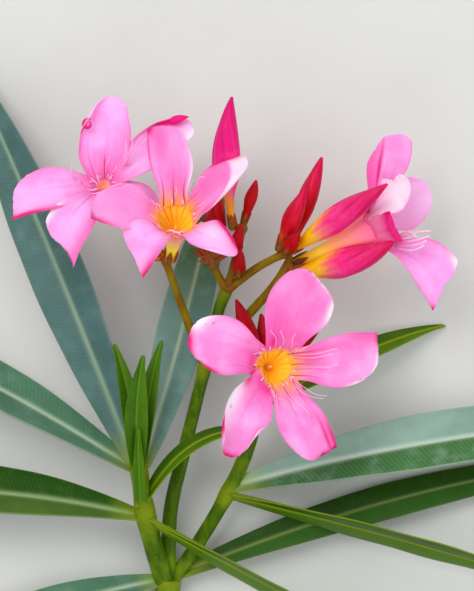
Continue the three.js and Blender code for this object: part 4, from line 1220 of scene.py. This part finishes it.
long_bud_skin = bud_surface("crimson_bud_on_yellow_foot",
                            [(0.0, "#D8360E"), (0.12, "#F29A06"), (0.3, "#FFC808"), (0.41, "#F8706A"),
                             (0.52, "#F42A84"), (1.0, "#D0044E")], "#FF6EB4", "#AC0444")
tall_bud_skin = bud_surface("magenta_bud_on_yellow_foot",
                            [(0.0, "#D8500E"), (0.14, "#F0A008"), (0.26, "#F48A3A"), (0.38, "#F2409A"),
                             (0.6, "#F01484"), (1.0, "#DC0A68")], "#FF5AA8", "#A8045A")
red_bud_skin = bud_surface("crimson_bud", [(0.0, "#8A4A12"), (0.2, "#C85A0E"), (0.36, "#C2000A"),
                                           (0.6, "#CE0026"), (1.0, "#DC0450")], "#EC1858", "#84001E")
small_bud_skin = bud_surface("dark_red_bud", [(0.0, "#7E4A14"), (0.22, "#96401A"), (0.38, "#B40008"),
                                              (0.7, "#BC000C"), (1.0, "#B60024")], "#D0141C", "#700006")
print("bud finishes:", long_bud_skin.name, tall_bud_skin.name, red_bud_skin.name, small_bud_skin.name)

# %% Where the buds are
# Each row: node, foot, middle or None, tip, radius, share of its length that is neck, share of
# the radius at the foot, how late it swells, finish.
BUDS = [
    ("tall_bud", (-1, 16.8, 22), (-2.5, 34, 26.6), (-1.2, 48, 30), 3.2, 0.5, 0.22, 2.4, tall_bud_skin),
    ("small_bud_upper", (1.6, 17.6, 20.4), None, (4.7, 28, 24), 1.2, 0.62, 0.45, 1.6, small_bud_skin),
    ("small_bud_middle", (-0.6, 10.4, 20), None, (1, 17.2, 24.6), 1.3, 0.4, 0.6, 1.0, small_bud_skin),
    ("small_bud_lower", (0.4, 5.4, 20.2), None, (0.8, 11.4, 23.4), 1.3, 0.4, 0.6, 1.0, small_bud_skin),
    ("hidden_bud", (-6.2, 11.6, 19.6), None, (-4.4, 25.6, 18.8), 2.6, 0.4, 0.45, 1.0, small_bud_skin),
    ("cluster_bud_left", (10.4, 11.6, 20.4), None, (16.7, 26.2, 24), 2.0, 0.5, 0.4, 1.3, red_bud_skin),
    ("cluster_bud_tall", (13.2, 11.6, 17.4), None, (20.8, 33.9, 18), 2.1, 0.55, 0.36, 1.3, red_bud_skin),
    ("cluster_bud_small", (12.2, 11, 22.4), None, (15.2, 15.6, 26.4), 1.5, 0.35, 0.6, 1.0,
     small_bud_skin),
    ("long_bud_upper", (13.2, 11, 20), None, (36.2, 26.8, 33), 2.9, 0.5, 0.3, 1.0, long_bud_skin),
    ("long_bud_lower", (14.2, 5.8, 19), (27.6, 8.4, 23.4), (38.3, 13.3, 27), 3.3, 0.5, 0.32, 1.0,
     long_bud_skin),
    ("rear_bud_left", (5.6, -16.9, 14.4), None, (-0.2, -1, 19.6), 2.0, 0.5, 0.6, 1.0, small_bud_skin),
    ("rear_bud_middle", (8, -16.9, 12.6), None, (5.9, -4.5, 14.4), 1.8, 0.5, 0.6, 1.0, small_bud_skin),
    ("rear_bud_right", (9.6, -16.9, 14.4), None, (20.9, -6.6, 19), 1.9, 0.5, 0.6, 1.0, small_bud_skin),
]
print("buds:", len(BUDS))

# %% The form of a bud
FOOT_DEPTH = 0.9  # how far a bud's foot reaches into its stalk


def bud_line(foot, by, tip):
    foot, tip = np.array(foot, float), np.array(tip, float)
    middle = 0.5 * (foot + tip) if by is None else np.array(by, float)
    return line_by(foot - FOOT_DEPTH * unit(middle - foot), middle, tip)


def bud_radius(share, radius, neck, waist, late):
    swell = (0.5 * (1 - np.cos(math.pi * np.clip(share / neck, 0, 1)))) ** late
    rest = np.clip((share - neck) / (1 - neck), 0, 1)
    point = radius * (1 - rest ** 1.9) * (1 - 0.12 * rest) + 0.3
    return np.where(share < neck, (radius + 0.3) * (waist + (1 - waist) * swell), point)


print("a bud is widest at its neck:", bud_radius(np.array([0.0, 0.5, 1.0]), 3.0, 0.5, 0.3, 1.0).round(2))

# %% Winding the buds
FLAPS = 5
FLAP_STEP = 0.12  # in shares of the radius
FLAP_EDGE = 0.88  # share of a flap where it begins to dip under the next
TWIST = 1.1  # flaps that a seam crosses from foot to tip
BUD_SIDES = 80
BUD_ROWS_PER_MM = 2.2


def bud_skin(line, radius, neck, waist, late):
    def climbing(share):
        return TWIST * share + 0.5 * share ** 2

    def shown(share, start, over):
        return np.clip((share - start) / over, 0, 1)

    def winding(share, angle):
        return np.mod(FLAPS * angle / (2 * math.pi) + climbing(share), 1)

    def radius_at(share, angle):
        turned = winding(share, angle)
        step = np.clip(turned / FLAP_EDGE, 0, 1) - np.clip((turned - FLAP_EDGE) / (1 - FLAP_EDGE), 0, 1)
        flap = FLAP_STEP * (step - 0.5) * shown(share, 0.6 * neck, 0.2)
        return bud_radius(share, radius, neck, waist, late) * (1 + flap)

    def seam(share, angle):
        return 0.75 * np.exp(-((winding(share, angle) - 0.94) / 0.06) ** 2) * shown(share, neck, 0.15)

    def streak(share, angle):
        wound = angle + 2 * math.pi / FLAPS * climbing(share)
        wander = 2.2 * np.sin(3 * wound + 1.5) + 1.4 * np.sin(7 * wound + 5 * share)
        return 0.6 * np.clip(np.sin(11 * wound + wander), 0, 1) ** 3 * shown(share, 0.7 * neck, 0.2)

    def ripeness(share, angle):
        border = 0.07 * np.cos(angle - 2.4) + 0.03 * np.cos(5 * angle) + 0.02 * np.sin(11 * angle)
        return np.clip(share + border * np.sin(math.pi * share), 0, 1)

    rows = max(40, int(line.length * BUD_ROWS_PER_MM))
    return limb_skin(line, radius_at, BUD_SIDES, rows, seam=seam, streak=streak, ripeness=ripeness)


for name, foot, by, tip, *form, material in BUDS:
    piece = make_piece(name + "_petals", bud_skin(bud_line(foot, by, tip), *form), material, name)
    print(piece.name, "faces", len(piece.data.polygons))

# %% [markdown]
# ## Sepals and bracts
# Round the foot of every bud and bloom stand five narrow sepals, brownish red and pointed,
# and the top of a stalk keeps a tuft of small dry bracts. Each is a tiny blade, the same as
# the scales of the crown, laid from a foot over a middle to a tip. They are joined into one
# piece for each bud, bloom or tuft.

# %% Sepal finish
def sepal_surface():
    material, tree = new_material("reddish_brown_sepals")
    grain = soft_noise(tree, 0.9, 3.0)
    tone = tones_by(tree, "along", [(0.0, "#7A6014"), (0.4, "#8A4812"), (1.0, "#A42C16")])
    tone = tint(tree, tone, "#A8683E", grain, 0.45, 0.7, 0.5)
    finish_material(tree, tone, {"Roughness": 0.55, "IOR": 1.45, "Specular IOR Level": 0.25}, grain)
    return material


sepal_tissue = sepal_surface()
print("sepal finish:", sepal_tissue.name)

# %% Sepals round each foot
SEPALS = 5
BUD_SEPAL_LENGTH = 4.2
BLOOM_SEPAL_LENGTH = 5


def sepals_round(line, share_length, radius_at, width):
    skins = []
    for number in range(SEPALS):
        angle = 2 * math.pi * number / SEPALS + 0.3
        corners = []
        for share, clear in ((0.02, 0.05), (0.5 * share_length, 0.2), (share_length, 0.25)):
            centre, _, left, top = frames(line, np.array([share]))
            radial = (left * math.cos(angle) + top * math.sin(angle))[0]
            corners.append(centre[0] + radial * (float(radius_at(share)) + clear))
        skins.append(scale_skin(*corners, width, radial))
    return join(skins)


def bud_sepals(line, radius, neck, waist, late):
    def radius_at(share):
        return bud_radius(np.array(share), radius, neck, waist, late)

    return sepals_round(line, min(0.4, BUD_SEPAL_LENGTH / line.length), radius_at, 0.3 * radius + 0.6)


def bloom_sepals(line):
    def radius_at(share):
        return TUBE_RADIUS + 0.15

    return sepals_round(line, BLOOM_SEPAL_LENGTH / line.length, radius_at, 1.5)


for name, foot, by, tip, *form, _ in BUDS:
    skin = bud_sepals(bud_line(foot, by, tip), *form)
    make_piece(name + "_sepals", skin, sepal_tissue, name)
for node, bloom in BLOOMS.items():
    make_piece(node + "_sepals", bloom_sepals(tube_line(bloom)), sepal_tissue, node)
print("sepals stand round", len(BUDS) + len(BLOOMS), "feet")

# %% [markdown]
# ## Where the stalks branch into flowers
# At the top of a stalk the short stalks of all its buds and blooms leave one small swollen
# joint. It is a short knob at the stalk's top, and from it a thin limb runs a little way into
# each foot, so that nothing in the head of flowers stands loose. The feet are looked up by
# name. One more short stalk bridges the gap between the right stalk and the cluster.

# %% Joints and short stalks
FEET = {name: foot for name, foot, *_ in BUDS} | {node: bloom["foot"] for node, bloom in BLOOMS.items()}
FEET["bridge"] = (12.8, 9.6, 18.4)

# Each row: stalk, its top, and what stands on it.
JOINTS = [
    ("middle_bud_stalk", MIDDLE_TOP, ["tall_bud", "small_bud_upper"]),
    ("cluster_stalk", CLUSTER_TOP, ["cluster_bud_left", "cluster_bud_tall", "cluster_bud_small",
                                    "long_bud_upper"]),
    ("right_flower_stalk", RIGHT_TOP, ["flower_right", "long_bud_lower", "bridge"]),
    ("right_shoot", RIGHT_TIP, ["flower_front", "rear_bud_left", "rear_bud_middle", "rear_bud_right"]),
    ("left_flower_stalk", LEFT_TOP, ["flower_middle", "flower_left"]),
    ("tuft_stalk", TUFT_TOP, ["hidden_bud"]),
]


INTO_STALK = 0.6  # how far a short stalk starts inside the joint
INTO_FOOT = 0.8  # how far it runs into the foot that it carries
KNOB_REACH = 1.3


def joint_skin(top, feet):
    def stalk_radius(share, angle):
        return 1.0 - 0.2 * share + 0.06 * np.sin(3 * angle + 9 * share)

    def knob_radius(share, angle):
        return 0.45 + 0.75 * np.sin(math.pi * share) ** 0.6 + 0.1 * np.sin(4 * angle)

    def reddish(share, angle):
        return 0.5 * np.ones(share.shape)

    top = np.array(top, float)
    skins = []
    for foot in feet:
        foot = np.array(foot, float)
        way = unit(foot - top)
        path = Line([top - way * INTO_STALK, 0.5 * (top + foot), foot + way * INTO_FOOT])
        skins.append(limb_skin(path, stalk_radius, 16, 14, joint=reddish))
    knob = Line([top - (0, KNOB_REACH, 0), top, top + (0, KNOB_REACH, 0)])
    skins.append(limb_skin(knob, knob_radius, 24, 16, joint=reddish))
    return join(skins)


for node, top, carried in JOINTS:
    skin = joint_skin(top, [FEET[name] for name in carried])
    piece = make_piece(node + "_joint", skin, stalk_bark, node)
    print(piece.name, "short stalks", len(carried))

# %% The tuft of bracts
BRACTS = 34
BRACT_REACH = 4.6
TUFT_START = -25  # degrees, the side on which the first bract points
TUFT_SPREAD = 230


def tuft_core(heart):
    def radius_at(share, angle):
        return 1.25 - 0.5 * share

    path = Line([heart + (0.2, -0.8, 0), heart + (-0.3, 1.8, 0.6), heart + (-0.6, 3.2, 1.0)])
    return limb_skin(path, radius_at, 12, 10)


def tuft_skin(heart, seed):
    rng = random.Random(seed)
    heart = np.array(heart, float)
    skins = [tuft_core(heart)]
    for number in range(BRACTS):
        angle = math.radians(TUFT_START + TUFT_SPREAD * number / (BRACTS - 1) + rng.uniform(-8, 8))
        long = BRACT_REACH * rng.uniform(0.75, 1.0)
        climb = 0.4 * BRACT_REACH + 0.75 * long * math.sin(angle)
        out = np.array([long * math.cos(angle), climb, rng.uniform(-0.6, 2.6)])
        foot = heart + (0, rng.uniform(0, 1.6), 0.3)
        width = rng.uniform(0.7, 1.2)
        skins.append(scale_skin(foot, foot + 0.5 * out + (0, 0, 0.5), foot + out, width, UP))
    return join(skins)


piece = make_piece("bract_tuft_scales", tuft_skin(TUFT_TOP, 5), sepal_tissue, "bract_tuft")
print(piece.name, "faces", len(piece.data.polygons))

# %% [markdown]
# ## Table, light and camera
# The branch lies on a plain pale table. One large soft light from the upper left stands for
# open shade on a bright day, a weaker one fills from the right, and a pale world keeps the
# shadows open. The camera looks straight down from 0.9 m, far enough that near blooms don't
# loom over the leaves, through a long lens that frames the blooms.

# %% Table
TABLE_SIZE = 3.0


def table_surface():
    material, tree = new_material("pale_matt_board")
    mottle = soft_noise(tree, 40.0, 3.0)
    tone = tint(tree, "#D2D2CE", "#D8D8D5", mottle, 0.3, 0.7)
    finish_material(tree, tone, {"Roughness": 0.85})
    return material


half_size = TABLE_SIZE / 2
corners = [(x * half_size, y * half_size, 0) for x, y in ((-1, -1), (1, -1), (1, 1), (-1, 1))]
board = bpy.data.meshes.new("table_top")
board.from_pydata(corners, [], [(0, 1, 2, 3)])
board.materials.append(table_surface())
table_top = bpy.data.objects.new("table_top", board)
bpy.context.scene.collection.objects.link(table_top)
print("table:", TABLE_SIZE, "m wide")

# %% Light
def soft_light(name, place, size, watts, tone):
    lamp = bpy.data.lights.new(name, "AREA")
    lamp.shape = "SQUARE"
    lamp.size = size
    lamp.energy = watts
    lamp.color = tone
    holder = bpy.data.objects.new(name, lamp)
    holder.location = place
    holder.rotation_euler = (-Vector(place)).to_track_quat("-Z", "Y").to_euler()
    bpy.context.scene.collection.objects.link(holder)
    return holder


key = soft_light("key_light", (-0.5, 0.6, 1.1), 0.8, 8, (1.0, 0.98, 0.95))
fill = soft_light("fill_light", (0.9, -0.3, 0.8), 0.9, 3.5, (0.97, 0.99, 1.0))
world = bpy.data.worlds.new("pale_studio")
world.use_nodes = True
backdrop = world.node_tree.nodes["Background"]
backdrop.inputs["Color"].default_value = (0.95, 0.97, 1.0, 1.0)
backdrop.inputs["Strength"].default_value = 0.74
bpy.context.scene.world = world
print("lights:", key.name, fill.name, "and a pale world")

# %% Camera
CAMERA_HEIGHT = 0.9
FRAME_HEIGHT = 0.14775  # height of the part of the table that the picture shows
SENSOR = 36.0

bpy.context.scene.view_settings.view_transform = "Standard"
lens = bpy.data.cameras.new("table_camera")
lens.sensor_fit = "VERTICAL"
lens.sensor_height = SENSOR
lens.lens = SENSOR * CAMERA_HEIGHT / FRAME_HEIGHT
lens.clip_start = 0.05
camera = bpy.data.objects.new("table_camera", lens)
camera.location = Vector((0, 0, CAMERA_HEIGHT)) - Vector(BRANCH_MIDDLE / 1000)
bpy.context.scene.collection.objects.link(camera)
bpy.context.scene.camera = camera
print("lens", round(lens.lens), "mm")
